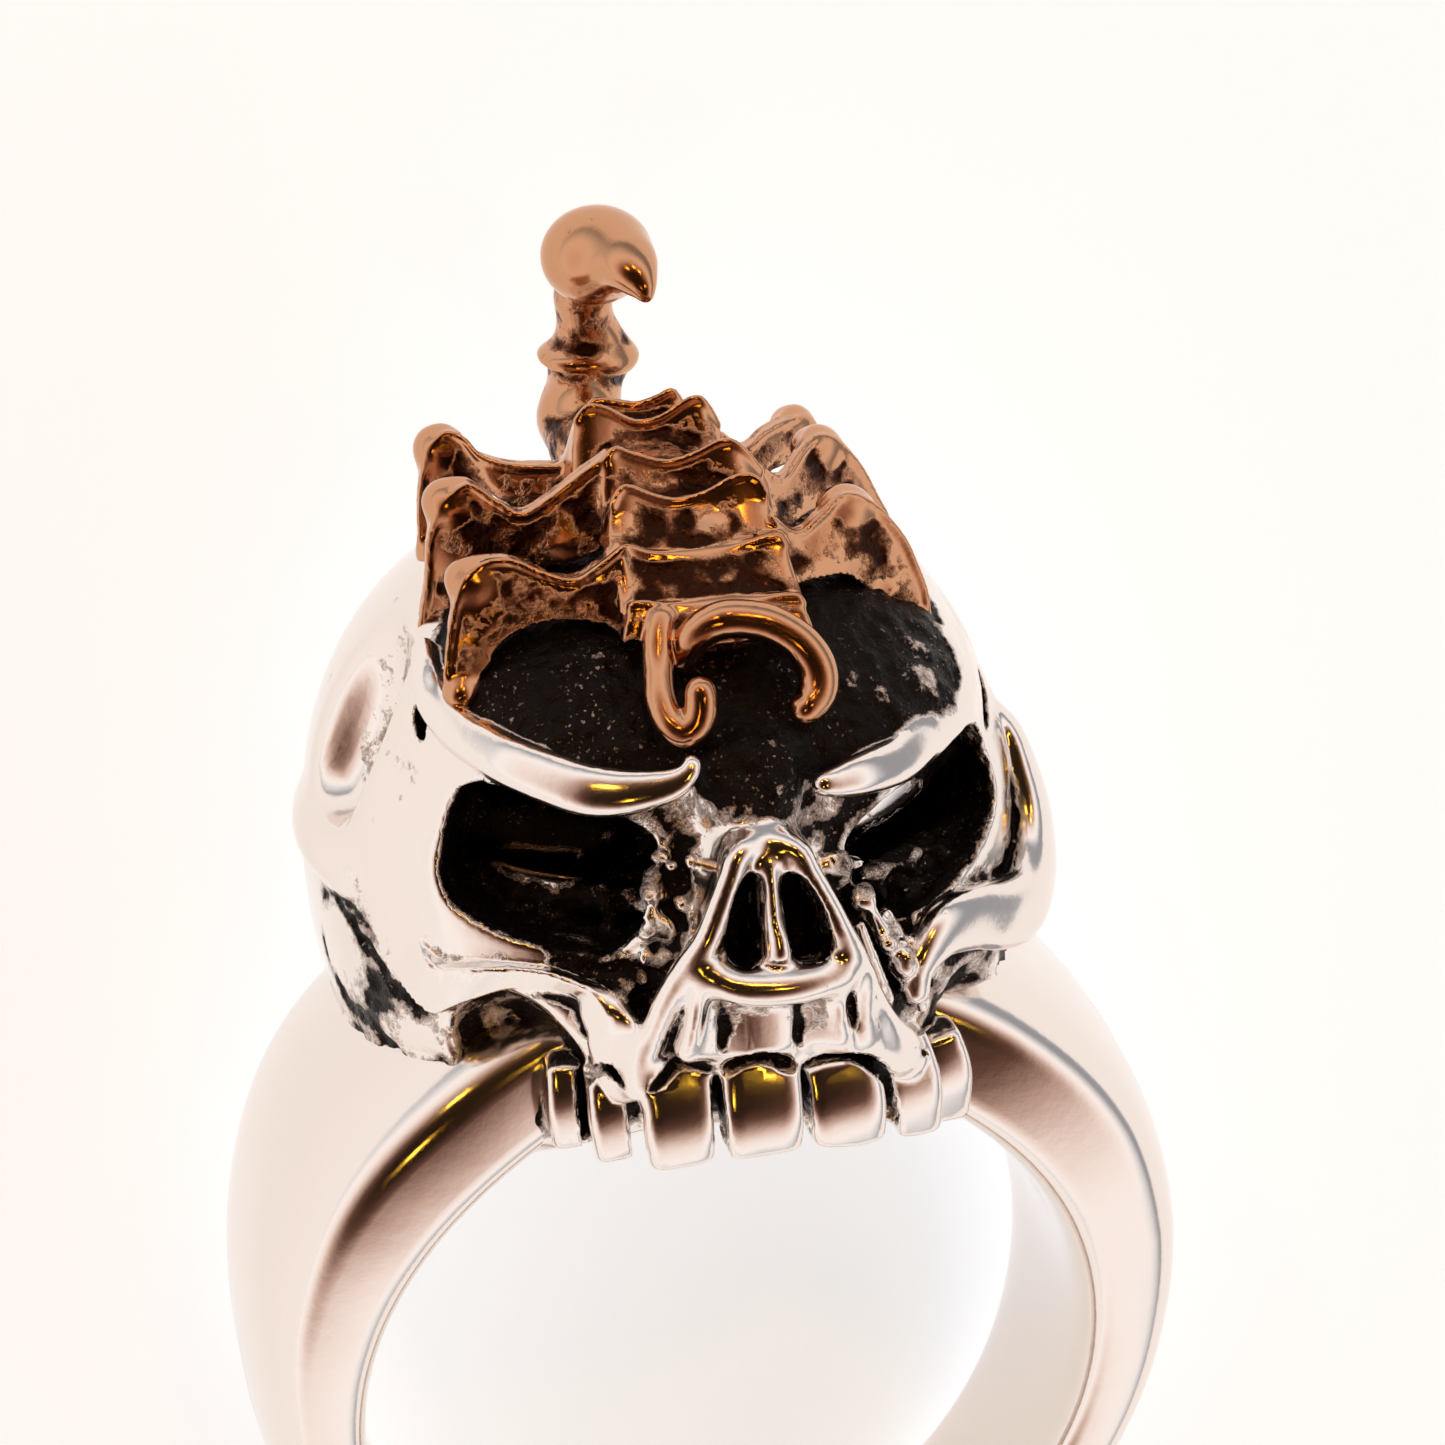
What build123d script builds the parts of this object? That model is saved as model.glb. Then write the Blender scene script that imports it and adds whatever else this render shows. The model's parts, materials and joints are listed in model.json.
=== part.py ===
from build123d import *
import math
import os

os.makedirs("parts", exist_ok=True)

# A heavy ring: a skull without its lower jaw on a tapering band, with a scorpion on its crown.
# The drafting frame has the finger along Y, the skull's face towards -Y and its crown towards +Z,
# with the origin at the middle of the finger hollow. At the end both castings are laid on their back.

# Band, in millimetres
BORE_DIAMETER = 20.6
BOTTOM_WALL = 2.0
BOTTOM_WIDTH = 5.4
SHOULDER_WALL = 4.2
SHOULDER_WIDTH = 11.4
BAND_CROWN = 0.5

# Skull
SKULL_WIDTH = 20.4
SKULL_DEPTH = 20.4
SKULL_HEIGHT = 20.4
SKULL_RISE = 4.4
SKULL_BACK_SHIFT = 1.5
CRANIUM_BACK_SHIFT = 0.7
BROW_RADIUS = 1.15
CHEEK_RADIUS = 1.15
CHEEK_FLATNESS = 0.75
NOSE_RIM_RADIUS = 0.5
SOCKET_DEPTH = 6.2
SOCKET_CORNER = 0.8
TEMPLE_RADIUS = 3.8
HOLLOW_RADIUS = 3.0
NOSTRIL_DEPTH = 2.4
TOOTH_WIDTH = 2.05
TOOTH_HEIGHT = 2.8
TOOTH_DEPTH = 2.2
FINGER_CLEARANCE = 0.15

# Scorpion
LEG_RADIUS = 0.85
PINCER_RADIUS = 0.56
TAIL_RADIUS = 0.8
BULB_RADIUS = 1.45
PLATE_WIDTH = 3.9
PLATE_THICKNESS = 1.1
PLATE_HORN = 0.35
SPINE_RADIUS = 1.6
CASTING_GAP = 0.06

# The ring rests on a small flat at the back of the head and on the band's lower rear edge, face up.
# The angle is how far the finger's axis leans from upright when it lies so.
REST_LEAN = 20.7
FLAT_SIZE = 8.0

BORE_RADIUS = BORE_DIAMETER / 2
SKULL_CENTRE = Vector(0, SKULL_BACK_SHIFT, BORE_RADIUS + SKULL_RISE)
CRANIUM_CENTRE = SKULL_CENTRE + Vector(0, CRANIUM_BACK_SHIFT, 0)

# Tables hold places as shares of the skull's half width, half depth and half height, measured from
# its centre, with x to the skull's left in the drawing, y towards the back of the head and z up.
# The last column is the thickness as a share of the named radius.
BROWS = [
    # x, y, z, thickness
    [(-0.78, -0.36, 0.75, 0.7), (-0.74, -0.56, 0.68, 0.9), (-0.63, -0.70, 0.60, 1.0), (-0.49, -0.79, 0.57, 1.0),
     (-0.34, -0.85, 0.55, 0.85), (-0.19, -0.87, 0.59, 0.55)],
    [(0.64, -0.36, 0.71, 0.7), (0.66, -0.50, 0.61, 0.95), (0.57, -0.64, 0.51, 1.0), (0.42, -0.75, 0.48, 0.95),
     (0.27, -0.83, 0.49, 0.8), (0.14, -0.87, 0.51, 0.5)],
]
CHEEKS = [
    # x, y, z, thickness
    [(-0.77, -0.33, 0.68, 0.5), (-0.90, -0.35, 0.42, 0.9), (-0.96, -0.42, 0.26, 1.0), (-0.91, -0.58, 0.10, 1.0),
     (-0.80, -0.69, 0.02, 1.0), (-0.60, -0.78, 0.06, 0.9), (-0.43, -0.87, 0.05, 0.8), (-0.27, -0.86, -0.12, 0.6)],
    [(0.73, -0.34, 0.56, 0.5), (0.84, -0.36, 0.30, 0.9), (0.87, -0.44, 0.09, 1.0), (0.77, -0.58, -0.05, 1.0),
     (0.62, -0.69, -0.03, 1.0), (0.48, -0.78, -0.01, 0.9), (0.39, -0.87, -0.07, 0.8), (0.27, -0.86, -0.20, 0.6)],
]
NOSE_RIM = [
    # x, y, z, thickness
    (-0.07, -1.03, 0.05, 0.8), (-0.17, -1.04, 0.21, 1.0), (-0.10, -1.00, 0.36, 0.9), (0.00, -0.98, 0.43, 0.9),
    (0.11, -1.00, 0.36, 0.9), (0.18, -1.04, 0.20, 1.0), (0.07, -1.03, 0.05, 0.8),
]
JAW = [
    # z, half width, front y
    (0.58, 0.20, -0.90), (0.42, 0.19, -0.98), (0.24, 0.27, -1.05), (0.10, 0.35, -1.10), (-0.10, 0.44, -1.05),
    (-0.24, 0.50, -1.02), (-0.41, 0.48, -0.93),
]
JAW_BACK = -0.5
BAND = [
    # degrees from the crown, wall and width from the bottom's value (0) to the shoulder's (1)
    (32, 0.9, 0.85), (55, 1.0, 1.0), (72, 0.72, 0.85), (92, 0.38, 0.6), (120, 0.14, 0.28), (150, 0.03, 0.08),
    (180, 0.0, 0.0),
]
TEETH = [
    # x, y, width, height, drop of the tip below the middle tooth's tip, turn in degrees
    (-0.46, -0.66, 0.45, 0.55, 0.04, 62), (-0.39, -0.81, 0.60, 0.80, 0.03, 50), (-0.22, -0.95, 0.90, 1.00, 0.01, 18),
    (0.01, -1.00, 1.00, 1.05, 0.0, 0), (0.24, -0.96, 0.95, 1.00, 0.01, -18), (0.43, -0.82, 0.65, 0.85, 0.04, -50),
    (0.54, -0.68, 0.45, 0.60, 0.06, -62),
]
SOCKETS = [
    # x and z of the outline's corners, from the upper outer corner round
    [(-0.84, 0.58), (-0.80, 0.12), (-0.27, 0.06), (-0.18, 0.50)],
    [(0.80, 0.52), (0.78, 0.06), (0.27, 0.05), (0.16, 0.46)],
]
TEMPLES = [
    # x, y, z of the hollow's middle
    (-1.24, 0.02, 0.34), (1.24, 0.02, 0.26),
]
CHEEK_HOLLOWS = [
    # x, y, z of the hollow's middle
    (-0.80, -0.90, -0.28), (0.80, -0.90, -0.34),
]
NOSTRILS = [
    # x and z of the upper point, the outer side, the lower outer corner and the lower inner corner
    [(-0.03, 0.40), (-0.14, 0.22), (-0.10, 0.11), (-0.03, 0.12)],
    [(0.03, 0.40), (0.15, 0.22), (0.11, 0.11), (0.04, 0.12)],
]
PLATES = [
    # x, y and z of the rim's middle, width as a share of the named width
    (-0.07, -0.50, 1.05, 1.0), (-0.06, -0.35, 1.18, 0.95), (-0.09, -0.18, 1.21, 1.05), (-0.08, 0.10, 1.21, 0.98),
    (-0.03, 0.29, 1.18, 0.72),
]
SPINE = [
    # x, y, z, thickness
    (-0.07, -0.62, 0.86, 0.6), (-0.07, -0.45, 0.96, 1.0), (-0.08, -0.20, 1.02, 1.1), (-0.08, 0.10, 1.04, 1.1),
    (-0.07, 0.30, 1.02, 0.9), (-0.12, 0.48, 0.99, 0.65),
]
LEGS = [
    # x, y, z, thickness
    [(-0.14, -0.48, 0.90, 0.9), (-0.32, -0.49, 0.95, 0.8), (-0.49, -0.46, 0.98, 0.85), (-0.64, -0.42, 0.97, 1.0),
     (-0.70, -0.43, 0.86, 0.8), (-0.71, -0.44, 0.76, 0.5)],
    [(-0.14, -0.22, 1.02, 0.9), (-0.30, -0.20, 1.04, 0.8), (-0.48, -0.15, 1.05, 0.85), (-0.62, -0.10, 1.09, 1.0),
     (-0.71, -0.07, 0.92, 0.8), (-0.75, -0.03, 0.74, 0.5)],
    [(-0.14, 0.10, 1.02, 0.9), (-0.28, 0.14, 1.06, 0.7), (-0.44, 0.20, 1.05, 0.75), (-0.60, 0.26, 1.11, 0.9),
     (-0.70, 0.28, 0.95, 0.8), (-0.73, 0.30, 0.80, 0.35)],
    [(0.02, -0.45, 0.92, 0.9), (0.17, -0.42, 0.97, 0.8), (0.32, -0.36, 0.95, 0.85), (0.44, -0.27, 1.04, 1.0),
     (0.54, -0.27, 0.89, 0.85), (0.59, -0.30, 0.71, 0.5)],
    [(0.02, -0.15, 1.00, 0.9), (0.17, -0.10, 1.06, 0.7), (0.30, -0.03, 1.05, 0.75), (0.43, 0.07, 1.07, 0.9),
     (0.54, 0.11, 0.93, 0.8), (0.60, 0.11, 0.74, 0.4)],
    [(0.02, 0.12, 1.00, 0.9), (0.16, 0.18, 1.06, 0.7), (0.28, 0.26, 1.05, 0.75), (0.40, 0.36, 1.03, 0.9),
     (0.47, 0.41, 0.92, 0.8), (0.51, 0.42, 0.80, 0.4)],
]
PINCERS = [
    # x, y, z, thickness
    [(-0.06, -0.60, 0.93, 1.1), (-0.16, -0.71, 0.92, 1.0), (-0.24, -0.77, 0.86, 1.0), (-0.26, -0.82, 0.77, 1.0),
     (-0.23, -0.85, 0.70, 1.0), (-0.16, -0.85, 0.68, 1.0), (-0.11, -0.84, 0.75, 0.9), (-0.10, -0.82, 0.80, 0.7)],
    [(-0.10, -0.62, 0.92, 1.1), (0.00, -0.70, 0.95, 1.1), (0.09, -0.73, 0.92, 1.15), (0.16, -0.77, 0.86, 1.2),
     (0.18, -0.81, 0.77, 1.2), (0.13, -0.82, 0.70, 1.1), (0.08, -0.82, 0.71, 0.8)],
]
TAIL = [
    # x, y, z, thickness
    (-0.10, 0.40, 0.98, 1.5), (-0.14, 0.62, 0.99, 1.1), (-0.11, 0.76, 1.08, 1.0), (-0.10, 0.79, 1.20, 0.9),
    (-0.12, 0.74, 1.33, 0.85), (-0.13, 0.66, 1.42, 0.9),
]
BEADS = [
    # x, y, z, radius as a share of the tail's radius
    (-0.14, 0.55, 0.99, 1.6), (-0.12, 0.73, 1.04, 1.45), (-0.09, 0.79, 1.16, 1.6), (-0.11, 0.77, 1.27, 1.15),
]
STING = [
    # x, y, z, thickness
    (-0.14, 0.71, 1.37, 0.45), (-0.13, 0.66, 1.45, 0.90), (-0.12, 0.57, 1.53, 1.0), (-0.10, 0.45, 1.56, 0.85),
    (-0.07, 0.36, 1.53, 0.5), (-0.05, 0.31, 1.46, 0.15),
]


def place(x, y, z):
    """The point of the drafting frame at these shares of the skull's half sizes."""
    return SKULL_CENTRE + Vector(x * SKULL_WIDTH / 2, y * SKULL_DEPTH / 2, z * SKULL_HEIGHT / 2)


def rod(rows, radius, side, flat=1.0, grow=0.0):
    """A bar lofted through ellipses square to its path; flat narrows it along the side direction, and
    grow adds that much all round and at both ends. Each section's side direction is the last one's,
    laid square to the path, so the bar isn't twisted."""
    points = [place(x, y, z) for x, y, z, _ in rows]
    points[0] -= (points[1] - points[0]).normalized() * grow
    points[-1] += (points[-1] - points[-2]).normalized() * grow
    across = side
    with BuildPart() as bar:
        for i, row in enumerate(rows):
            run = (points[min(i + 1, len(rows) - 1)] - points[max(i - 1, 0)]).normalized()
            across = (across - run * across.dot(run)).normalized()
            thickness = row[3] * radius
            with BuildSketch(Plane(points[i], x_dir=across, z_dir=run)):
                Ellipse(thickness * flat + grow, thickness + grow)
        loft()
    return bar.part


def cranium(grow=0.0):
    """The round head, a ball stretched to the skull's width, depth and height."""
    with BuildPart() as ball:
        Sphere(1)
        scale(by=(SKULL_WIDTH / 2 + grow, SKULL_DEPTH / 2 + grow, SKULL_HEIGHT / 2 + grow))
    return Pos(CRANIUM_CENTRE) * ball.part


def half_band():
    """One side of the band, lofted through crowned sections from inside the skull to the bottom."""
    inner = BORE_RADIUS - BAND_CROWN
    with BuildPart() as side:
        for angle, wall_share, width_share in BAND:
            turn = math.radians(angle)
            outer = BORE_RADIUS + BOTTOM_WALL + wall_share * (SHOULDER_WALL - BOTTOM_WALL)
            half = (BOTTOM_WIDTH + width_share * (SHOULDER_WIDTH - BOTTOM_WIDTH)) / 2
            section = Plane((0, 0, 0), x_dir=(math.sin(turn), 0, math.cos(turn)),
                            z_dir=(math.cos(turn), 0, -math.sin(turn)))
            with BuildSketch(section):
                with BuildLine():
                    Polyline((outer - BAND_CROWN, -half), (inner, -half), (inner, half), (outer - BAND_CROWN, half))
                    ThreePointArc((outer - BAND_CROWN, half), (outer, 0), (outer - BAND_CROWN, -half))
                make_face()
        loft()
    return side.part


def jaw():
    """The nose bridge and upper jaw, lofted through level ellipses."""
    back = place(0, JAW_BACK, 0).Y
    with BuildPart() as face:
        for z, half_width, front in JAW:
            nose = place(0, front, z)
            with BuildSketch(Plane((0, back, nose.Z))):
                Ellipse(half_width * SKULL_WIDTH / 2, back - nose.Y)
        loft()
    return face.part


def tooth(x, y, width, height, drop, turn):
    """One tooth: a rounded block whose lower end is softened, standing clear of the finger hollow."""
    root = place(x, y, 0)
    tip = BORE_RADIUS + FINGER_CLEARANCE - drop * SKULL_HEIGHT / 2
    wide = width * TOOTH_WIDTH
    across = Vector(1, 0, 0).rotate(Axis.Z, -turn)
    with BuildPart() as crown:
        with BuildSketch(Plane((root.X, root.Y, tip), x_dir=across, z_dir=(0, 0, 1))):
            RectangleRounded(wide, TOOTH_DEPTH, wide * 0.35)
        extrude(amount=height * TOOTH_HEIGHT)
        fillet(crown.faces().sort_by(Axis.Z)[0].edges(), wide * 0.2)
    return crown.part


def pocket(corners, front, floor, taper, corner_radius):
    """A cutter with a rounded outline that narrows from the front of the face to the pocket's floor."""
    middle_x = sum(x for x, _ in corners) / len(corners)
    middle_z = sum(z for _, z in corners) / len(corners)
    with BuildPart() as cutter:
        for y, share in ((front, 1.0), (floor, taper)):
            outline = [place(middle_x + (x - middle_x) * share, 0, middle_z + (z - middle_z) * share)
                       for x, z in corners]
            with BuildSketch(Plane((0, y, 0), x_dir=(1, 0, 0), z_dir=(0, -1, 0))) as shape:
                Polygon([(p.X, p.Z) for p in outline], align=None)
                fillet(shape.vertices(), corner_radius * share)
        loft()
    return cutter.part


def plate(x, y, z, width):
    """One plate of the scorpion's back: horned corners, a sagging rim between them and flaring sides."""
    rim = place(x, y, z)
    half = width * PLATE_WIDTH / 2
    drop = PLATE_WIDTH
    with BuildPart() as slab:
        with BuildSketch(Plane(rim, x_dir=(1, 0, 0), z_dir=(0, -1, 0))):
            with BuildLine():
                Polyline((-half * 0.6, PLATE_HORN * 0.4), (-half * 0.85, PLATE_HORN), (-half, 0),
                         (-half * 1.3, -drop), (half * 1.3, -drop), (half, 0), (half * 0.85, PLATE_HORN),
                         (half * 0.6, PLATE_HORN * 0.4))
                ThreePointArc((half * 0.6, PLATE_HORN * 0.4), (0, 0), (-half * 0.6, PLATE_HORN * 0.4))
            make_face()
        extrude(amount=PLATE_THICKNESS / 2, both=True)
    return slab.part


def flat_cutter():
    """A slab whose upper face is the surface that the ring lies on, below the head alone. That surface
    is square to the rest direction and passes through the band's lower rear edge."""
    down = Vector(0, math.cos(math.radians(REST_LEAN)), -math.sin(math.radians(REST_LEAN)))
    band_edge = Vector(0, BOTTOM_WIDTH / 2, -(BORE_RADIUS + BOTTOM_WALL - BAND_CROWN))
    below_head = CRANIUM_CENTRE + down * (band_edge - CRANIUM_CENTRE).dot(down)
    with BuildPart() as slab:
        with BuildSketch(Plane(below_head, x_dir=(1, 0, 0), z_dir=down)):
            Rectangle(FLAT_SIZE, FLAT_SIZE)
        extrude(amount=FLAT_SIZE / 2)
    return slab.part


ALONG_X = Vector(1, 0, 0)
ALONG_Y = Vector(0, 1, 0)
FACE_FRONT = place(0, -1.4, 0).Y
SOCKET_FLOOR = place(0, -1, 0).Y + SOCKET_DEPTH
NOSTRIL_FLOOR = place(0, -1, 0).Y + NOSTRIL_DEPTH

head = cranium()
bands = half_band()
face = jaw()
sockets = [pocket(corners, FACE_FRONT, SOCKET_FLOOR, 0.8, SOCKET_CORNER) for corners in SOCKETS]
nostrils = [pocket(corners, FACE_FRONT, NOSTRIL_FLOOR, 0.9, NOSE_RIM_RADIUS / 4) for corners in NOSTRILS]
brows = [rod(rows, BROW_RADIUS, ALONG_Y) for rows in BROWS]
cheeks = [rod(rows, CHEEK_RADIUS, ALONG_Y, flat=CHEEK_FLATNESS) for rows in CHEEKS]
rim = rod(NOSE_RIM, NOSE_RIM_RADIUS, ALONG_Y)
teeth = [tooth(*row) for row in TEETH]

with BuildPart() as skull_ring:
    add(bands)
    mirror(about=Plane.YZ)
    add(head)
    add(face)
    add(sockets, mode=Mode.SUBTRACT)
    for x, y, z in TEMPLES:
        with Locations(place(x, y, z)):
            Sphere(TEMPLE_RADIUS, mode=Mode.SUBTRACT)
    for x, y, z in CHEEK_HOLLOWS:
        with Locations(place(x, y, z)):
            Sphere(HOLLOW_RADIUS, mode=Mode.SUBTRACT)
    add(brows + cheeks + [rim] + teeth)
    add(nostrils, mode=Mode.SUBTRACT)
    with Locations(Rot(X=90)):
        Cylinder(BORE_RADIUS, 4 * SKULL_DEPTH, mode=Mode.SUBTRACT)
    add(flat_cutter(), mode=Mode.SUBTRACT)

plates = [plate(*row) for row in PLATES]
spine = rod(SPINE, SPINE_RADIUS, ALONG_X)
legs = [rod(rows, LEG_RADIUS, ALONG_Y) for rows in LEGS]
pincers = [rod(rows, PINCER_RADIUS, ALONG_Y) for rows in PINCERS]
tail = rod(TAIL, TAIL_RADIUS, ALONG_X)
sting = rod(STING, BULB_RADIUS, ALONG_X)
seat = [cranium(CASTING_GAP)]
seat += [rod(rows, BROW_RADIUS, ALONG_Y, grow=CASTING_GAP) for rows in BROWS]

with BuildPart() as scorpion:
    add([spine, tail, sting] + plates + legs + pincers)
    for x, y, z, share in BEADS:
        with Locations(place(x, y, z)):
            Sphere(share * TAIL_RADIUS)
    add(seat, mode=Mode.SUBTRACT)

# Laid down: the face up, the crown towards +Y, and the origin below the middle of the whole ring
laid = [Rot(X=REST_LEAN - 90) * casting.part for casting in (skull_ring, scorpion)]
bounds = Compound(laid).bounding_box()
seat_point = Vector(bounds.center().X, bounds.center().Y, bounds.min.Z)
for name, casting in zip(("skull_ring", "scorpion"), laid):
    finished = Pos(-seat_point) * casting
    finished.label = name
    export_step(finished, f"parts/{name}.step")
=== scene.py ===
import json
import math

import bpy
import numpy as np
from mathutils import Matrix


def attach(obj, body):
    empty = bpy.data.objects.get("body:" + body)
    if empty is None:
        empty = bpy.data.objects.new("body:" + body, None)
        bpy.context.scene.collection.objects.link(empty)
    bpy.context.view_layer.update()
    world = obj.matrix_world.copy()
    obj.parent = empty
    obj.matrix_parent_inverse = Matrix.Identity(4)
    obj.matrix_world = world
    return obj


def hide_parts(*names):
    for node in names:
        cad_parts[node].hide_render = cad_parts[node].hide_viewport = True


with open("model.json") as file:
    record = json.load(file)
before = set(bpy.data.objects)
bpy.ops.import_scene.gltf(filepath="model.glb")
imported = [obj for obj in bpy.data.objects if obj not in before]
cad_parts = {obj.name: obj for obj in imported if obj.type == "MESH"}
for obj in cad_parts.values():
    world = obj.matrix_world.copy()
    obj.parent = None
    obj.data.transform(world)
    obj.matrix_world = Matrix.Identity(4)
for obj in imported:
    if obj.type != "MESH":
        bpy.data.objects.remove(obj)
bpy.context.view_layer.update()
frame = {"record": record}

import openvdb
from mathutils import Matrix, Vector

# A heavy finger ring: a silver skull without its lower jaw, on a tapering band, with a bronze
# scorpion on its crown. Places in the tables are millimetres in the caster's drafting frame: the
# finger along y, the face towards -y, the crown towards +z, the middle of the finger hollow at zero.
MM = 0.001
finger = frame["record"]["mounts"][0]
FINGER_RADIUS = finger["dims"]["r_mm"]
FINGER_MIDDLE = np.array(finger["pos_m"]) / MM
TO_FACE = np.array(finger["axis"])

# The drafting frame's x, y and z, as they lie in the frame of the part at rest
DRAFT_X = np.array([1.0, 0.0, 0.0])
DRAFT_Y = -TO_FACE
DRAFT_Z = np.cross(DRAFT_X, DRAFT_Y)
DRAFT_AXES = np.stack([DRAFT_X, DRAFT_Y, DRAFT_Z])

# The clay that the castings are pressed from: its voxels in mm, how far from its surface it knows
# the distance and counts it as known, and over what width a stain fades out. Then the most
# triangles of a piece, and what keeps a length from being nought
SKULL_VOXEL = 0.09
SCORPION_VOXEL = 0.07
MELT_REACH = 0.9
KNOWN_REACH = 0.99 * MELT_REACH
STAIN_EDGE = 0.2
FACE_LIMIT = 190000
NOT_NOUGHT = 1e-12

# How oxidised the metal is: the weight of the stain and of closed places at two reaches, the most
# that an open place takes off, and the strength and size in mm of blotches and of the raised grain
STAIN_WEIGHT = 0.85
CLOSED_NEAR = 2.4
CLOSED_WIDE = 1.0
MOST_POLISH = -0.3
BLOTCHES = 0.24
BLOTCH_SIZE = 1.3
GRAIN_POLISH = 0.3
GRAIN_SIZE = 0.42
FINE_GRAIN_SIZE = 0.2

# Points that lie under a bar: the middle of the head, one far behind the face and one far below
HEART = np.array([0.0, 2.2, 14.7])
BEHIND = (0, 500, 12)
BELOW = (0, 0, -500)


def at_rest(points):
    """Drafting millimetres turned and moved to the part's resting place, in metres."""
    return (np.asarray(points) @ DRAFT_AXES + FINGER_MIDDLE) * MM


def spline(rows, at):
    """Smooth curves through the rows of a table, a column at a time. Between two rows the value is the
    Catmull-Rom cubic of those two and their neighbours: with b and c the two rows, a and d the ones
    outside them and t the share of the way, half of 2b + (c-a)t + (2a-5b+4c-d)t2 + (3b-3c+d-a)t3."""
    rows = np.array(rows, float)
    at = np.asarray(at) * (len(rows) - 1)
    i = np.minimum(at.astype(int), len(rows) - 2)
    t = (at - i)[:, None]
    padded = np.vstack([2 * rows[0] - rows[1], rows, 2 * rows[-1] - rows[-2]])
    a, b, c, d = (padded[i + k] for k in range(4))
    return (2 * b + (c - a) * t + (2 * a - 5 * b + 4 * c - d) * t**2 + (3 * b - 3 * c + d - a) * t**3) / 2


def unit(vectors):
    """Vectors at length one."""
    return vectors / np.linalg.norm(vectors, axis=-1, keepdims=True)


def power(values, exponent):
    """Values raised to a power with their sign kept."""
    return np.sign(values) * np.abs(values) ** exponent


def oval(squareness=1.0, count=36):
    """A closed section: the cosine and the sine of an angle, each raised to a power with its sign
    kept. Power 1 gives a circle, a smaller one a rounder or squarer block."""
    angle = np.linspace(0, 2 * np.pi, count, endpoint=False)
    return np.stack([power(np.cos(angle), squareness), power(np.sin(angle), squareness)], axis=1)


def skin(grid):
    """A closed form from a grid of points whose rows are rings and whose first and last rings are
    shrunk to a point: its points, and a face between each pair of neighbours on a pair of rings."""
    rings, around = grid.shape[:2]
    i, j = np.meshgrid(np.arange(rings - 1), np.arange(around), indexing="ij")
    k = (j + 1) % around
    faces = np.stack([i * around + j, i * around + k, (i + 1) * around + k, (i + 1) * around + j], axis=-1)
    return grid.reshape(-1, 3), faces.reshape(-1, 4)


def bar(rows, section, up_from=HEART, count=110, blunt=1.0, lean=0.0):
    """A section carried along the smooth curve through rows of x, y, z, half width and half height, or
    of x, y, z and one radius. Up is away from a point, square to the curve, and the section's width
    lies square to both; a lean in degrees turns it about the curve. Both ends are rounded: over the
    last stretch, blunt times the half height long, the section shrinks as the root of 1 - (1 - s)2,
    where s is the share of it left."""
    at = (1 - np.cos(np.pi * np.linspace(0, 1, count))) / 2
    path = spline(rows, at)
    points, sizes = path[:, :3], path[:, [3, -1]]
    run = unit(np.gradient(points, axis=0))
    side = unit(np.cross(run, points - np.asarray(up_from)))
    up = np.cross(side, run)
    c, s = math.cos(math.radians(lean)), math.sin(math.radians(lean))
    side, up = side * c + up * s, up * c - side * s
    length = np.concatenate([[0], np.cumsum(np.linalg.norm(np.diff(points, axis=0), axis=1))])
    to_end = np.minimum(length / sizes[0, 1], (length[-1] - length) / sizes[-1, 1]) / blunt
    shrink = np.sqrt(1 - (1 - np.clip(to_end, 0, 1)) ** 2)[:, None]
    wide, high = (sizes * shrink).T[:, :, None, None]
    return skin(points[:, None] + side[:, None] * section[None, :, :1] * wide
                + up[:, None] * section[None, :, 1:] * high)


def along(line, radius):
    """Rows for a bar of one radius along a line of points."""
    return np.column_stack([line, np.full(len(line), radius)])


def ball(centre, radii, squareness=1.0, count=60):
    """A stretched ball: for two angles, one up from the middle and one round it, each radius times
    their cosines and sines, all raised to a power with their sign kept, and moved to its centre."""
    rise = np.linspace(-np.pi / 2, np.pi / 2, count)[:, None]
    around = np.linspace(0, 2 * np.pi, 2 * count, endpoint=False)[None, :]
    grid = np.stack([
        radii[0] * power(np.cos(rise), squareness) * power(np.cos(around), squareness),
        radii[1] * power(np.cos(rise), squareness) * power(np.sin(around), squareness),
        radii[2] * power(np.sin(rise), squareness) * np.ones_like(around),
    ], axis=-1)
    return skin(grid + np.asarray(centre))


def ribbon(rails, count=200, each=10):
    """A strip along rails. Each rail is a smooth curve through its own rows, and every section is the
    closed polygon of the rails' points. The ends shrink to a point."""
    at = np.linspace(0, 1, count)
    rails = np.stack([spline(rail, at) for rail in rails], axis=1)
    share = (np.arange(each) / each)[None, None, :, None]
    grid = rails[:, :, None] * (1 - share) + np.roll(rails, -1, axis=1)[:, :, None] * share
    grid = grid.reshape(count, -1, 3)
    middle = grid.mean(axis=1, keepdims=True)
    shrink = np.sqrt(1 - (1 - np.clip(np.minimum(at, 1 - at) * 40, 0, 1)) ** 2)[:, None, None]
    return skin(middle + (grid - middle) * shrink)


def melt(a, b, radius):
    """The smaller of two distances, rounded where they differ by less than the radius and are both
    known: there a fillet takes off h2 times a quarter of the radius, with h falling from 1 where they
    are equal to 0."""
    h = np.maximum(1 - np.abs(a - b) / radius, 0) * (np.maximum(a, b) < KNOWN_REACH)
    return np.minimum(a, b) - h * h * (radius / 4)


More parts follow.
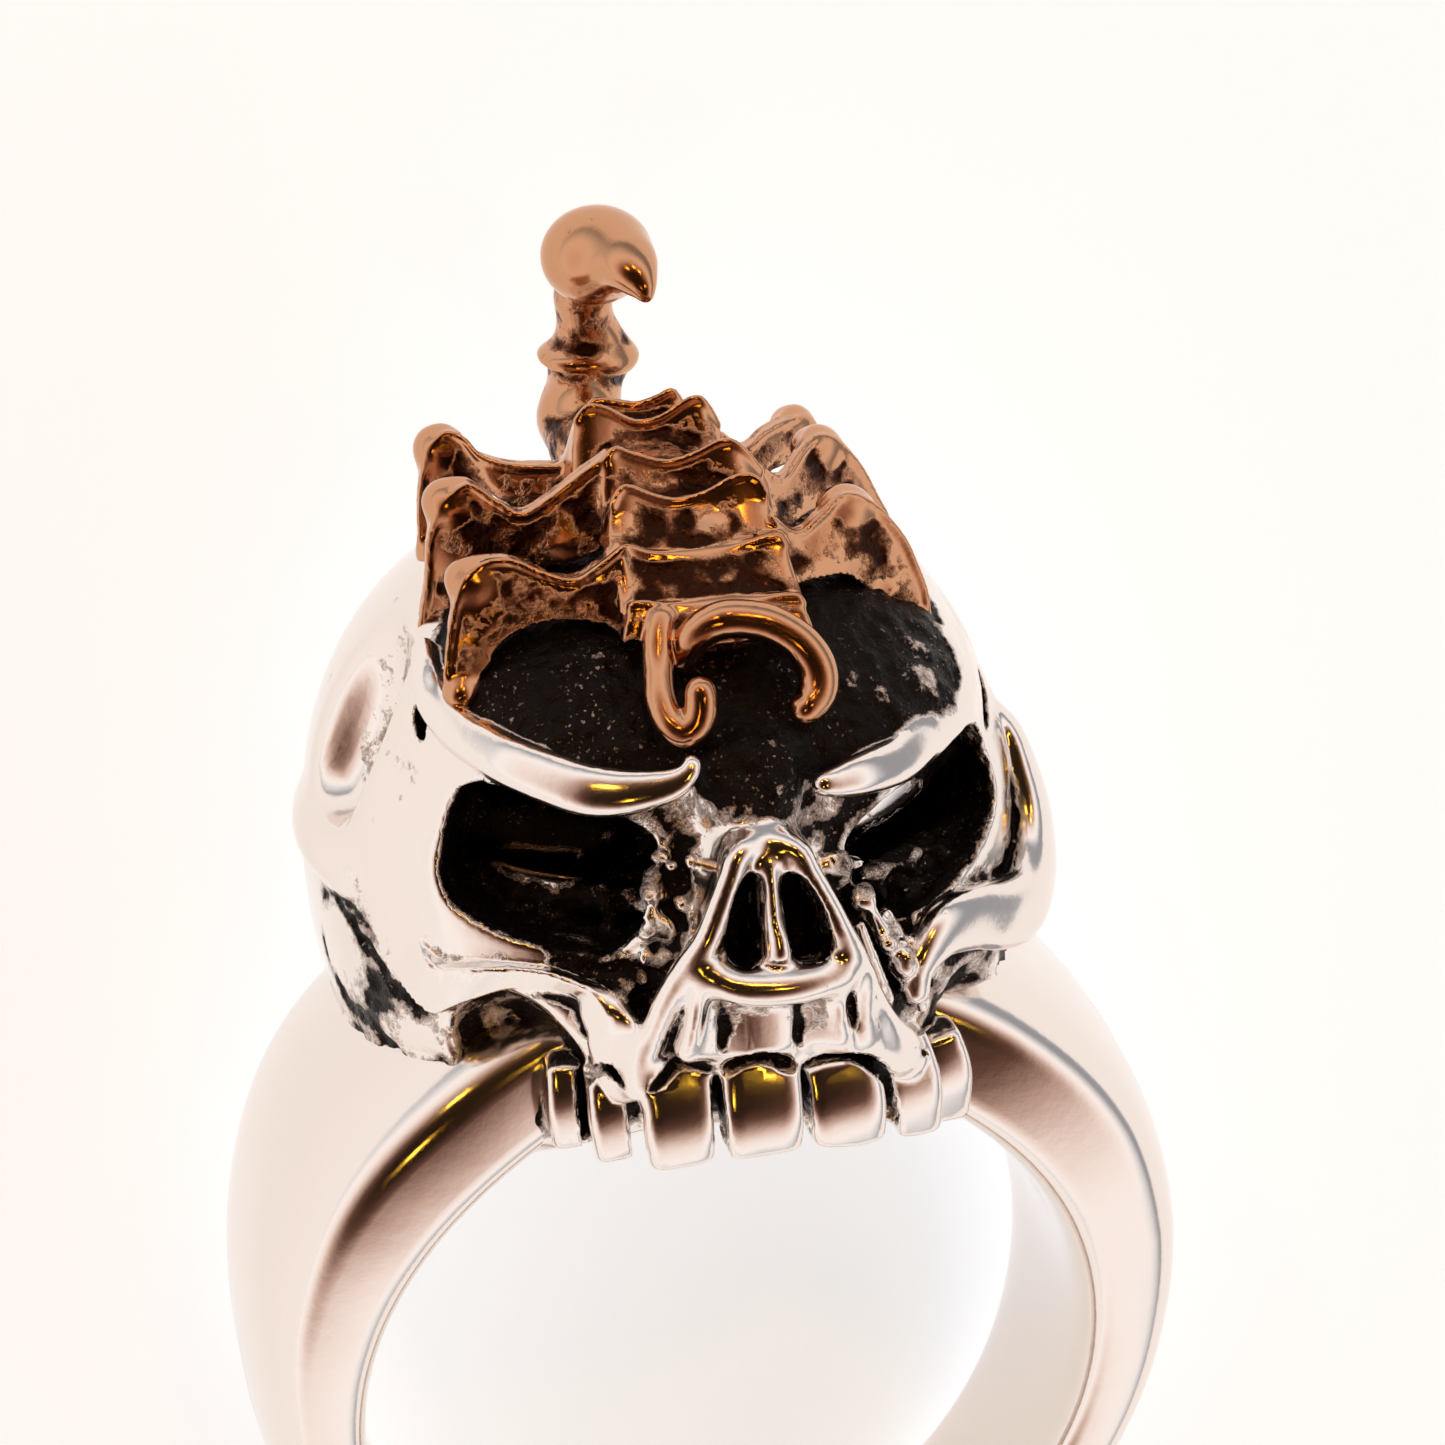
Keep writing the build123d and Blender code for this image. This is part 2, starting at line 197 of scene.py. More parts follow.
class Clay:
    """A block of voxels that hold the distance to the surface in mm, negative inside and no further
    from nought than MELT_REACH. Forms are pressed on to it and cut out of it, and stain marks how
    oxidised a place is."""

    def __init__(self, low, high, voxel):
        self.voxel = voxel
        self.first = np.floor(np.array(low) / voxel).astype(int)
        self.size = np.ceil(np.array(high) / voxel).astype(int) - self.first + 1
        self.depth = np.full(self.size, MELT_REACH, np.float32)
        self.stain = np.zeros(self.size, np.float32)

    def measure(self, form):
        """The part of the block that a closed form reaches, and the distances to it there."""
        points, faces = form
        grid = openvdb.FloatGrid.createLevelSetFromPolygons(
            points.astype(np.float32), quads=faces.astype(np.uint32),
            transform=openvdb.createLinearTransform(self.voxel), halfWidth=MELT_REACH / self.voxel)
        reach = round(MELT_REACH / self.voxel) + 2
        low = np.floor(points.min(axis=0) / self.voxel).astype(int) - reach - self.first
        high = np.ceil(points.max(axis=0) / self.voxel).astype(int) + reach - self.first
        low, high = np.clip(low, 0, self.size), np.clip(high, 0, self.size)
        values = np.empty(high - low, np.float32)
        grid.copyToArray(values, ijk=tuple(int(v) for v in low + self.first))
        return tuple(slice(a, b) for a, b in zip(low, high)), values

    def dye(self, window, values, stain, edge):
        """Changes the stain where distances are negative, and less and less over an edge in mm."""
        inside = np.clip(1 - values / edge, 0, 1)
        self.stain[window] += (stain - self.stain[window]) * inside

    def mark(self, form, stain, edge):
        """Stains the clay inside a form and leaves its shape."""
        self.dye(*self.measure(form), stain, edge)

    def add(self, form, fillet=0.12, stain=None):
        """Joins a form to the clay with a fillet."""
        window, values = self.measure(form)
        self.depth[window] = melt(self.depth[window], values, fillet)
        if stain is not None:
            self.dye(window, values, stain, STAIN_EDGE)

    def cut(self, form, fillet, stain=None, edge=STAIN_EDGE, keep=None):
        """Cuts a form out of the clay, apart from what a second form keeps."""
        window, values = self.measure(form)
        if keep is not None:
            kept = np.full(self.size, MELT_REACH, np.float32)
            inner, held = self.measure(keep)
            kept[inner] = held
            values = -melt(-values, kept[window], fillet)
        self.depth[window] = -melt(-self.depth[window], values, fillet)
        if stain is not None:
            self.dye(window, values, stain, edge)

    def press(self, tables, section, fillet, stain=None, **shape):
        """Joins a bar to the clay for each table of rows."""
        for rows in tables:
            self.add(bar(rows, section, **shape), fillet, stain)

    def carve(self, tables, section, fillet, stain=None, edge=STAIN_EDGE, keep=None, **shape):
        """Cuts a bar out of the clay for each table of rows."""
        for rows in tables:
            self.cut(bar(rows, section, **shape), fillet, stain, edge, keep)

    def trim(self, normal, least):
        """Cuts away every place whose product with the normal is less than the least."""
        first, last = self.first * self.voxel, (self.first + self.size - 1) * self.voxel
        x, y, z = (np.linspace(a, b, n, dtype=np.float32) * c
                   for a, b, n, c in zip(first, last, self.size, normal))
        beyond = np.float32(least) - (x[:, None, None] + y[None, :, None] + z[None, None, :])
        self.depth = np.maximum(self.depth, np.clip(beyond, -MELT_REACH, MELT_REACH))

    def tarnish(self, points, near, wide, seed):
        """How oxidised each point is, nought for none and one for all: the weighted stain, plus how
        closed in the point is at two reaches, plus blotches, less the raised grain."""
        closed = (CLOSED_NEAR * (0.5 - self.sample(near, points, 2))
                  + CLOSED_WIDE * (0.5 - self.sample(wide, points, 2)))
        total = STAIN_WEIGHT * self.sample(self.stain, points) + np.maximum(closed, MOST_POLISH)
        total += BLOTCHES * crumb(points, BLOTCH_SIZE, seed)
        return total - GRAIN_POLISH * crumb(points, GRAIN_SIZE, seed + 1)

    def openness(self, reach):
        """The share of empty space round each voxel, as three running means in a row make it over about
        a reach in mm: a half on a flat surface, more on a ridge and less in a hollow. It is kept on
        every second voxel."""
        space = np.clip(0.5 + self.depth / (2 * self.voxel), 0, 1)[::2, ::2, ::2]
        steps = max(1, round(reach / (2 * self.voxel) / 2))
        for axis in (0, 1, 2):
            for _ in range(3):
                margins = [(steps + 1, steps) if a == axis else (0, 0) for a in range(3)]
                padded = np.pad(space, margins, mode="edge")
                total = np.cumsum(padded, axis=axis, dtype=np.float64)
                span = 2 * steps + 1
                ends = [slice(None)] * 3
                starts = [slice(None)] * 3
                ends[axis], starts[axis] = slice(span, None), slice(None, -span)
                space = ((total[tuple(ends)] - total[tuple(starts)]) / span).astype(np.float32)
        return space

    def sample(self, values, points, every=1):
        """Values of a block at points, weighted from the eight voxels round each point."""
        at = (points / self.voxel - self.first) / every
        at = np.clip(at, 0, np.array(values.shape) - 1.001)
        i = at.astype(int)
        t = at - i
        total = 0.0
        for corner in np.ndindex(2, 2, 2):
            weight = np.prod(np.where(corner, t, 1 - t), axis=1)
            total = total + weight * values[tuple((i + corner).T)]
        return total

    def surface(self):
        """The points and faces of the surface where the distance is zero."""
        grid = openvdb.FloatGrid(MELT_REACH)
        grid.copyFromArray(self.depth, ijk=tuple(int(v) for v in self.first))
        grid.transform = openvdb.createLinearTransform(self.voxel)
        grid.gridClass = openvdb.GridClass.LEVEL_SET
        points, faces = grid.convertToQuads(isovalue=0.0)
        return points.astype(np.float64), faces[:, ::-1].astype(np.int64)


def links(faces):
    """Every edge of a mesh once, as pairs of point numbers."""
    pairs = np.concatenate([np.stack([faces[:, k], np.roll(faces, -1, axis=1)[:, k]], axis=1)
                            for k in range(faces.shape[1])])
    return np.unique(np.sort(pairs, axis=1), axis=0)


def smooth(points, edges, rounds, share=0.5, back=1.03):
    """Moves each point a share of the way to the mean of its neighbours, and on every second round
    that share times another number back, so that the form keeps its size."""
    count = len(points)
    ends = np.concatenate([edges[:, 0], edges[:, 1]])
    others = np.concatenate([edges[:, 1], edges[:, 0]])
    shared = np.bincount(ends, minlength=count)[:, None]
    for done in range(rounds):
        mean = np.stack([np.bincount(ends, points[others, k], count) for k in range(3)], axis=1) / shared
        points = points + (mean - points) * (share if done % 2 == 0 else -share * back)
    return points


def facing(points, faces):
    """The direction that each point of a mesh faces: the sum of the products of its faces' diagonals,
    at length one."""
    normal = np.cross(points[faces[:, 2]] - points[faces[:, 0]], points[faces[:, 3]] - points[faces[:, 1]])
    total = np.zeros_like(points)
    for k in range(faces.shape[1]):
        for axis in range(3):
            total[:, axis] += np.bincount(faces[:, k], normal[:, axis], len(points))
    return unit(total + NOT_NOUGHT)


def crumb(points, grain, seed):
    """Smooth random values from -1 to 1 at points: a lattice of random numbers a grain apart, with the
    eight round each point weighted by 3t2 - 2t3 of its place between them."""
    numbers = np.random.default_rng(seed).uniform(-1, 1, (41, 43, 47))
    at = points / grain + 500
    i = np.floor(at).astype(int)
    t = at - i
    t = t * t * (3 - 2 * t)
    total = 0.0
    for corner in np.ndindex(2, 2, 2):
        x, y, z = ((i + corner) % np.array(numbers.shape)).T
        total = total + np.prod(np.where(corner, t, 1 - t), axis=1) * numbers[x, y, z]
    return total


def step(values, low, high):
    """0 below low, 1 above high and 3t2 - 2t3 between them."""
    t = np.clip((values - low) / (high - low), 0, 1)
    return t * t * (3 - 2 * t)


def new_piece(name, points, faces, material):
    """An object of the scene from points in drafting millimetres, riding on the ring's one body."""
    mesh = bpy.data.meshes.new(name)
    mesh.vertices.add(len(points))
    mesh.vertices.foreach_set("co", at_rest(points).astype(np.float32).ravel())
    sides = faces.shape[1]
    mesh.loops.add(faces.size)
    mesh.loops.foreach_set("vertex_index", faces.astype(np.int32).ravel())
    mesh.polygons.add(len(faces))
    mesh.polygons.foreach_set("loop_start", np.arange(0, faces.size, sides, dtype=np.int32))
    mesh.polygons.foreach_set("loop_total", np.full(len(faces), sides, np.int32))
    mesh.update(calc_edges=True)
    mesh.shade_smooth()
    piece = bpy.data.objects.new(name, mesh)
    bpy.context.collection.objects.link(piece)
    mesh.materials.append(material)
    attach(piece, "root")
    return piece


def thin_out(piece, limit):
    """Joins the flattest faces until no more triangles than the limit are left."""
    triangles = sum(len(p.vertices) - 2 for p in piece.data.polygons)
    if triangles > limit:
        fewer = piece.modifiers.new("thin out", "DECIMATE")
        fewer.ratio = limit / triangles
        shown = piece.evaluated_get(bpy.context.evaluated_depsgraph_get())
        mesh = bpy.data.meshes.new_from_object(shown)
        piece.modifiers.clear()
        piece.data = mesh
        mesh.shade_smooth()


def draft_points(piece):
    """A piece's points in drafting millimetres."""
    points = np.empty(len(piece.data.vertices) * 3, np.float32)
    piece.data.vertices.foreach_get("co", points)
    return (points.reshape(-1, 3).astype(float) / MM - FINGER_MIDDLE) @ DRAFT_AXES.T


def set_values(piece, name, values):
    """Writes a number for each point of a piece, for its material to read."""
    layer = piece.data.attributes.new(name, "FLOAT", "POINT")
    layer.data.foreach_set("value", np.asarray(values, np.float32))


def cast(clay, name, material, reaches, rounds, seed, rough, grain, fine_grain, fine_seed, sunk):
    """A piece from the surface of the clay: smoothed in rounds, and with grain in two sizes wherever it
    is oxidised, which stands up by its strengths and is sunk a little. How oxidised a point is rises
    from nought to one between the two values of rough, and stays with the point for the material."""
    near, wide = (clay.openness(reach) for reach in reaches)
    points, faces = clay.surface()
    points = smooth(points, links(faces), rounds)
    oxidised = step(clay.tarnish(points, near, wide, seed), *rough)
    relief = grain * crumb(points, GRAIN_SIZE, seed + 1)
    relief += fine_grain * crumb(points, FINE_GRAIN_SIZE, fine_seed) - sunk
    points = points + facing(points, faces) * (relief * oxidised)[:, None]
    piece = new_piece(name, points, faces, material)
    thin_out(piece, FACE_LIMIT)
    points = draft_points(piece)
    set_values(piece, "tarnish", clay.tarnish(points, near, wide, seed))
    return piece


# Sections of bars, from a circle to nearly a square
ROUND, PLUMP, SOFT = oval(1.0), oval(0.85), oval(0.8)
DOMED, FLAT, SQUARE = oval(0.68), oval(0.6), oval(0.42)

# Skull, in drafting millimetres: the corners of its clay, the cranium, the floor behind the eye
# sockets, how far the head clears the finger and the floor, and where the teeth end
SKULL_CLAY = ((-13.8, -11.2, 6.0), (13.8, 12.9, 26.2))
CRANIUM = ((-0.6, 2.2, 14.7), (10.0, 9.75, 9.9), 0.88)
SOCKET_FLOOR = ((-0.4, 2.4, 16.0), (6.4, 6.2, 6.0))
FINGER_CLEARANCE = 0.03
FLOOR_CLEARANCE = 0.05
LOWEST_TOOTH = 7.0

# Tables of x, y, z, half width and half height, or of x, y, z and one radius
FACE_BLOCK = [
    (-0.3, -3.4, 21.4, 1.2, 4.0), (-0.3, -3.6, 20.2, 1.5, 4.2), (-0.2, -3.8, 19.0, 1.75, 4.6),
    (-0.2, -3.9, 18.0, 2.1, 4.9), (-0.1, -4.0, 17.0, 2.5, 5.1), (-0.1, -4.0, 16.0, 3.0, 5.3),
    (0.0, -4.0, 15.0, 3.5, 5.25), (0.1, -4.0, 14.0, 4.0, 5.1), (0.2, -4.0, 13.0, 4.5, 4.9),
    (0.3, -4.0, 12.0, 4.9, 4.7), (0.4, -4.0, 10.8, 5.0, 4.55), (0.4, -4.0, 9.0, 4.9, 4.4),
]
FOREHEAD = [
    (-0.5, 0.8, 17.0, 7.6, 7.2), (-0.5, 0.8, 18.0, 8.0, 7.5), (-0.5, 0.8, 19.4, 8.1, 7.75),
    (-0.5, 0.8, 20.5, 8.0, 7.75), (-0.5, 0.8, 21.3, 7.7, 7.4), (-0.5, 0.8, 22.0, 7.3, 6.8),
    (-0.5, 0.8, 22.7, 6.6, 6.0), (-0.5, 0.8, 23.3, 5.8, 5.1), (-0.5, 0.8, 23.9, 4.7, 4.1),
    (-0.5, 0.8, 24.3, 3.6, 3.2),
]
BROW_LEFT = [
    (-7.75, -0.8, 22.55, 0.3, 0.3), (-7.86, -1.9, 22.04, 0.42, 0.42), (-7.75, -2.7, 21.54, 0.52, 0.5),
    (-7.33, -3.8, 21.2, 0.58, 0.55), (-6.75, -4.8, 21.04, 0.64, 0.58), (-6.12, -5.7, 20.92, 0.68, 0.6),
    (-4.85, -7.0, 20.75, 0.7, 0.6), (-4.08, -7.5, 20.75, 0.66, 0.56), (-3.34, -7.8, 20.85, 0.56, 0.5),
    (-2.5, -8.0, 21.05, 0.42, 0.4), (-2.04, -8.0, 21.37, 0.3, 0.32), (-1.91, -7.8, 21.75, 0.22, 0.25),
]
BROW_RIGHT = [
    (1.3, -7.95, 20.6, 0.26, 0.3), (2.0, -7.7, 20.5, 0.42, 0.42), (2.78, -7.3, 20.45, 0.56, 0.55),
    (3.84, -6.5, 20.34, 0.64, 0.6), (4.68, -5.6, 20.43, 0.66, 0.62), (5.63, -4.4, 20.46, 0.66, 0.62),
    (6.32, -3.2, 20.6, 0.66, 0.6), (6.66, -2.2, 20.9, 0.56, 0.5), (6.76, -1.2, 21.35, 0.42, 0.4),
    (6.68, -0.6, 21.64, 0.3, 0.3),
]
# Left eye frame: its outer edge, its crest and the lip towards the eye, row by row from the brow to the nose
FRAME_LEFT_OUTER = [
    (-8.18, -1.0, 21.02), (-8.51, -0.9, 20.27), (-8.88, -0.8, 19.12), (-9.45, -0.6, 17.92),
    (-10.41, 0.0, 16.55), (-10.85, 0.3, 15.79), (-10.25, -0.8, 15.24), (-9.63, -2.4, 14.56),
    (-9.09, -3.9, 13.75), (-8.49, -4.9, 13.37), (-7.77, -5.5, 13.9), (-6.82, -6.0, 14.43),
    (-6.1, -6.4, 14.67), (-5.23, -6.8, 14.6), (-4.64, -7.1, 14.29), (-4.43, -7.2, 13.32),
]
FRAME_LEFT_CREST = [
    (-8.31, -1.7, 20.91), (-8.44, -2.0, 20.02), (-8.72, -2.4, 19.07), (-8.94, -2.6, 18.41),
    (-9.09, -2.9, 17.79), (-9.14, -3.1, 17.18), (-9.02, -3.4, 16.38), (-8.71, -4.0, 15.49),
    (-8.65, -4.8, 15.07), (-8.35, -5.2, 14.9), (-7.49, -6.0, 15.17), (-6.49, -6.5, 15.31),
    (-5.76, -6.9, 15.31), (-5.17, -7.3, 15.17), (-4.57, -7.8, 14.97), (-4.22, -8.2, 14.41),
]
FRAME_LEFT_LIP = [
    (-7.84, -1.9, 20.18), (-7.21, -1.6, 19.17), (-7.35, -1.4, 18.13), (-7.56, -1.4, 17.39),
    (-7.67, -1.6, 16.71), (-7.63, -1.8, 16.14), (-7.52, -2.2, 15.83), (-7.22, -2.8, 15.67),
    (-6.9, -3.4, 15.56), (-6.61, -3.9, 15.53), (-5.99, -4.8, 15.64), (-5.32, -5.4, 15.65),
    (-4.73, -5.9, 15.65), (-4.1, -6.4, 15.58), (-3.47, -7.0, 15.45), (-3.11, -7.6, 15.02),
]
FRAME_RIGHT = [
    (7.55, -1.0, 19.8, 0.25, 0.25), (7.82, -1.1, 19.23, 0.35, 0.3), (8.5, -1.3, 18.39, 0.5, 0.36),
    (8.84, -1.6, 17.36, 0.7, 0.42), (9.0, -1.9, 16.47, 0.85, 0.5), (9.0, -2.4, 15.59, 1.0, 0.56),
    (8.8, -3.1, 14.98, 1.05, 0.62), (8.2, -4.2, 14.54, 1.05, 0.68), (7.38, -5.0, 14.66, 1.0, 0.68),
    (6.42, -5.7, 15.03, 0.92, 0.62), (5.38, -6.5, 15.21, 0.8, 0.56), (4.75, -7.0, 14.92, 0.6, 0.5),
    (4.37, -7.3, 14.39, 0.42, 0.42), (4.3, -7.5, 13.5, 0.34, 0.35),
]
SOCKETS = [
    # rows, and the lean in degrees
    ([(-9.4, -12.0, 19.2, 2.7, 2.0), (-5.3, -5.6, 17.9, 2.95, 2.05), (-3.2, 0.6, 17.2, 2.2, 1.5)], -10),
    ([(8.7, -12.0, 19.0, 2.6, 1.7), (5.1, -5.4, 17.9, 2.95, 1.8), (3.0, 0.6, 17.4, 2.0, 1.3)], 22),
]
WEDGES = [
    [(-8.1, -1.9, 21.1, 0.16, 0.3), (-7.8, -2.5, 20.5, 0.3, 0.45), (-7.3, -3.1, 19.9, 0.45, 0.5),
     (-6.9, -3.4, 19.5, 0.5, 0.5)],
    [(7.35, -1.2, 20.3, 0.2, 0.3), (7.3, -2.0, 19.7, 0.35, 0.4), (6.9, -3.0, 19.3, 0.4, 0.5)],
]
ROLLS = [
    [(-8.2, -0.9, 18.1, 0.9, 0.9), (-6.5, -2.0, 18.0, 1.0, 1.05), (-4.5, -2.7, 17.6, 1.0, 1.05),
     (-2.6, -3.0, 17.2, 0.9, 0.9)],
    [(-7.6, -1.0, 16.4, 0.45, 0.4), (-6.0, -3.3, 16.3, 0.5, 0.4), (-4.2, -4.6, 16.3, 0.5, 0.4),
     (-2.8, -5.4, 16.4, 0.4, 0.35)],
    [(7.9, -0.4, 19.0, 0.8, 0.8), (5.7, -2.0, 18.5, 1.0, 1.0), (3.9, -3.1, 17.9, 1.1, 1.1),
     (2.2, -3.9, 17.3, 0.9, 0.9)],
    [(7.4, -1.6, 16.6, 0.4, 0.4), (6.0, -3.4, 16.3, 0.5, 0.4), (4.4, -4.8, 16.4, 0.5, 0.4),
     (3.1, -5.8, 16.5, 0.4, 0.35)],
]
TEMPLES = [
    [(-8.7, 0.8, 22.7, 0.9), (-9.35, 0.9, 21.0, 1.6), (-10.0, 0.9, 19.3, 1.85),
     (-10.6, 1.0, 17.9, 1.7), (-11.1, 1.1, 16.9, 1.0)],
    [(7.7, 1.0, 21.8, 0.8), (8.9, 1.0, 20.0, 1.3), (9.9, 1.1, 18.2, 1.5),
     (10.5, 1.2, 16.9, 0.9)],
]
CHEEK_ARCHES = [
    [(-9.6, -1.6, 15.9, 0.7, 0.6), (-10.4, 0.3, 16.0, 0.62, 0.6), (-10.5, 2.4, 15.9, 0.6, 0.5),
     (-10.1, 4.6, 15.6, 0.5, 0.4)],
    [(8.7, -1.4, 15.6, 0.7, 0.5), (9.1, 0.3, 15.6, 0.6, 0.5), (9.2, 2.4, 15.6, 0.6, 0.45),
     (8.9, 4.6, 15.4, 0.5, 0.4)],
]
NOSE_RIM = [
    (-3.5, -8.3, 12.2, 0.3, 0.3), (-3.45, -8.5, 13.2, 0.32, 0.36), (-3.2, -8.75, 14.2, 0.34, 0.38),
    (-2.85, -9.0, 15.3, 0.36, 0.4), (-2.35, -9.2, 16.3, 0.38, 0.44), (-1.9, -9.3, 17.0, 0.38, 0.46),
    (-1.5, -9.15, 17.9, 0.36, 0.44), (-1.15, -8.95, 18.7, 0.34, 0.42), (-0.85, -8.75, 19.25, 0.34, 0.42),
    (-0.15, -8.55, 19.3, 0.24, 0.26), (0.6, -8.75, 19.15, 0.34, 0.42), (0.95, -8.95, 18.5, 0.34, 0.42),
    (1.35, -9.15, 17.7, 0.36, 0.44), (1.7, -9.3, 16.9, 0.38, 0.46), (2.1, -9.2, 16.1, 0.38, 0.44),
    (2.55, -8.95, 15.0, 0.36, 0.4), (3.0, -8.65, 14.0, 0.34, 0.38), (3.4, -8.35, 13.0, 0.32, 0.36),
    (3.75, -8.0, 12.0, 0.3, 0.32),
]
NOSE_SILL = [
    (-2.0, -9.45, 16.2, 0.35, 0.4), (-1.1, -9.7, 15.8, 0.48, 0.5), (0.1, -9.8, 15.7, 0.5, 0.52),
    (1.2, -9.65, 15.75, 0.48, 0.5), (2.0, -9.35, 15.9, 0.35, 0.4),
]
SEPTUM = [
    (-0.13, -8.7, 19.0, 0.22, 0.4), (-0.12, -8.95, 18.2, 0.2, 0.5), (-0.1, -9.15, 17.5, 0.22, 0.55),
    (0.02, -9.35, 16.9, 0.34, 0.55), (0.04, -9.5, 16.3, 0.38, 0.5),
]
NOSTRILS = [
    [(-0.5, -9.0, 18.7, 0.22, 1.2), (-0.7, -9.1, 18.3, 0.36, 1.4), (-0.84, -9.2, 17.7, 0.44, 1.5),
     (-0.86, -9.3, 17.0, 0.47, 1.6), (-0.8, -9.5, 16.25, 0.42, 1.5)],
    [(0.32, -9.0, 18.6, 0.22, 1.2), (0.52, -9.1, 18.2, 0.4, 1.4), (0.72, -9.2, 17.6, 0.52, 1.5),
     (0.86, -9.3, 16.9, 0.56, 1.6), (0.92, -9.5, 16.2, 0.5, 1.5)],
]
STRUTS = [
    [(-2.1, -9.35, 16.4, 0.22, 0.3), (-2.15, -9.4, 15.4, 0.2, 0.3), (-2.3, -9.3, 14.3, 0.22, 0.3),
     (-2.45, -9.1, 13.5, 0.2, 0.25)],
    [(1.75, -9.35, 15.9, 0.22, 0.3), (1.65, -9.4, 15.0, 0.22, 0.3), (1.7, -9.3, 14.2, 0.24, 0.3),
     (1.8, -9.15, 13.5, 0.22, 0.25)],
    [(2.35, -9.15, 15.6, 0.18, 0.3), (2.4, -9.1, 14.6, 0.2, 0.3), (2.5, -8.95, 13.7, 0.24, 0.28),
     (2.6, -8.8, 13.2, 0.2, 0.25)],
]
ROOTS = [
    [(-0.42, -8.75, 15.8, 0.9, 0.46), (-0.4, -8.95, 14.6, 0.9, 0.46), (-0.36, -9.1, 13.3, 0.92, 0.42)],
    [(-1.9, -8.75, 15.8, 0.42, 0.4), (-1.92, -8.9, 14.5, 0.45, 0.4), (-2.1, -9.0, 13.4, 0.55, 0.38)],
    [(1.15, -8.8, 15.7, 0.42, 0.4), (1.3, -8.95, 14.5, 0.45, 0.4), (1.6, -9.0, 13.5, 0.5, 0.38)],
    [(1.5, -8.85, 13.7, 0.5, 0.42), (2.3, -8.75, 13.4, 0.6, 0.48), (3.1, -8.3, 13.0, 0.66, 0.5),
     (3.8, -7.8, 12.3, 0.66, 0.5), (4.2, -7.5, 11.2, 0.6, 0.45)],
]
WEB = [
    (-4.6, -7.15, 14.6, 0.4, 0.3), (-4.1, -7.75, 13.9, 0.85, 0.34), (-3.95, -7.9, 13.2, 0.9, 0.34),
    (-3.8, -7.95, 12.4, 0.8, 0.34), (-3.6, -8.1, 11.8, 0.45, 0.3),
]
WEB_BEHIND = (3.1, -0.7, 13.7)
ROOT_GROOVES = [
    [(-1.47, -9.6, 15.5, 0.12, 0.34), (-1.46, -9.55, 14.6, 0.13, 0.34), (-1.43, -9.4, 13.6, 0.13, 0.3)],
    [(0.6, -9.6, 15.3, 0.12, 0.34), (0.62, -9.55, 14.4, 0.13, 0.34), (0.66, -9.4, 13.4, 0.13, 0.3)],
    [(-2.5, -9.35, 15.9, 0.08, 0.3), (-2.65, -9.25, 15.0, 0.18, 0.4), (-2.85, -9.1, 14.3, 0.1, 0.3)],
    [(1.98, -9.4, 15.2, 0.1, 0.3), (2.05, -9.3, 14.5, 0.13, 0.35), (2.17, -9.15, 13.9, 0.08, 0.3)],
    [(2.7, -9.1, 14.8, 0.1, 0.3), (2.8, -8.95, 14.1, 0.13, 0.35), (2.95, -8.8, 13.6, 0.08, 0.3)],
]
TEETH = [
    # x, y, z of the root, the middle and the tip, half width and half depth at the middle
    (-5.0, -5.7, 12.2, -4.98, -5.75, 10.9, -4.85, -5.65, 9.45, 0.62, 0.8),
    (-4.15, -6.9, 12.6, -4.1, -7.15, 11.2, -3.95, -7.1, 9.7, 0.62, 0.8),
    (-2.48, -8.1, 13.3, -2.5, -8.45, 11.5, -2.42, -8.4, 10.0, 1.0, 0.8),
    (-0.33, -8.4, 13.4, -0.3, -8.75, 11.6, -0.22, -8.7, 10.25, 1.15, 0.8),
    (1.85, -8.1, 13.1, 2.05, -8.4, 11.4, 2.25, -8.3, 10.0, 1.12, 0.8),
    (3.85, -7.15, 12.6, 4.2, -7.25, 11.1, 4.35, -7.05, 9.45, 0.82, 0.8),
    (5.2, -6.0, 12.0, 5.55, -5.95, 10.7, 5.65, -5.65, 9.05, 0.66, 0.8),
]
# Teeth: width and depth at the root and at the tip as shares of the middle's, and the point that a
# tooth faces away from, at a share of its x and far behind it
ROOT_WIDTH, ROOT_DEPTH = 0.9, 0.75
TIP_WIDTH, TIP_DEPTH = 0.86, 0.85
TEETH_FAN = 0.2
TEETH_BEHIND = 60
# Dark lines round the roots and between the teeth
GUM_LINES = [
    [(-4.85, -7.0, 12.1, 0.12, 0.5), (-4.3, -7.75, 12.75, 0.16, 0.5), (-3.7, -8.3, 12.3, 0.14, 0.5)],
    [(-3.4, -8.8, 12.5, 0.14, 0.5), (-2.5, -9.2, 13.2, 0.2, 0.5), (-1.55, -9.3, 12.9, 0.18, 0.5)],
    [(-1.45, -9.4, 12.85, 0.18, 0.5), (-0.88, -9.4, 13.25, 0.24, 0.5), (-0.2, -9.4, 13.3, 0.26, 0.5),
     (0.66, -9.3, 12.8, 0.18, 0.5)],
    [(0.75, -9.3, 12.75, 0.16, 0.5), (1.6, -9.15, 13.0, 0.18, 0.5), (2.4, -8.85, 12.85, 0.18, 0.5),
     (3.1, -8.5, 12.2, 0.14, 0.5)],
    [(3.2, -8.4, 12.3, 0.12, 0.5), (3.9, -7.85, 12.6, 0.14, 0.5), (4.7, -7.1, 11.9, 0.12, 0.5)],
]
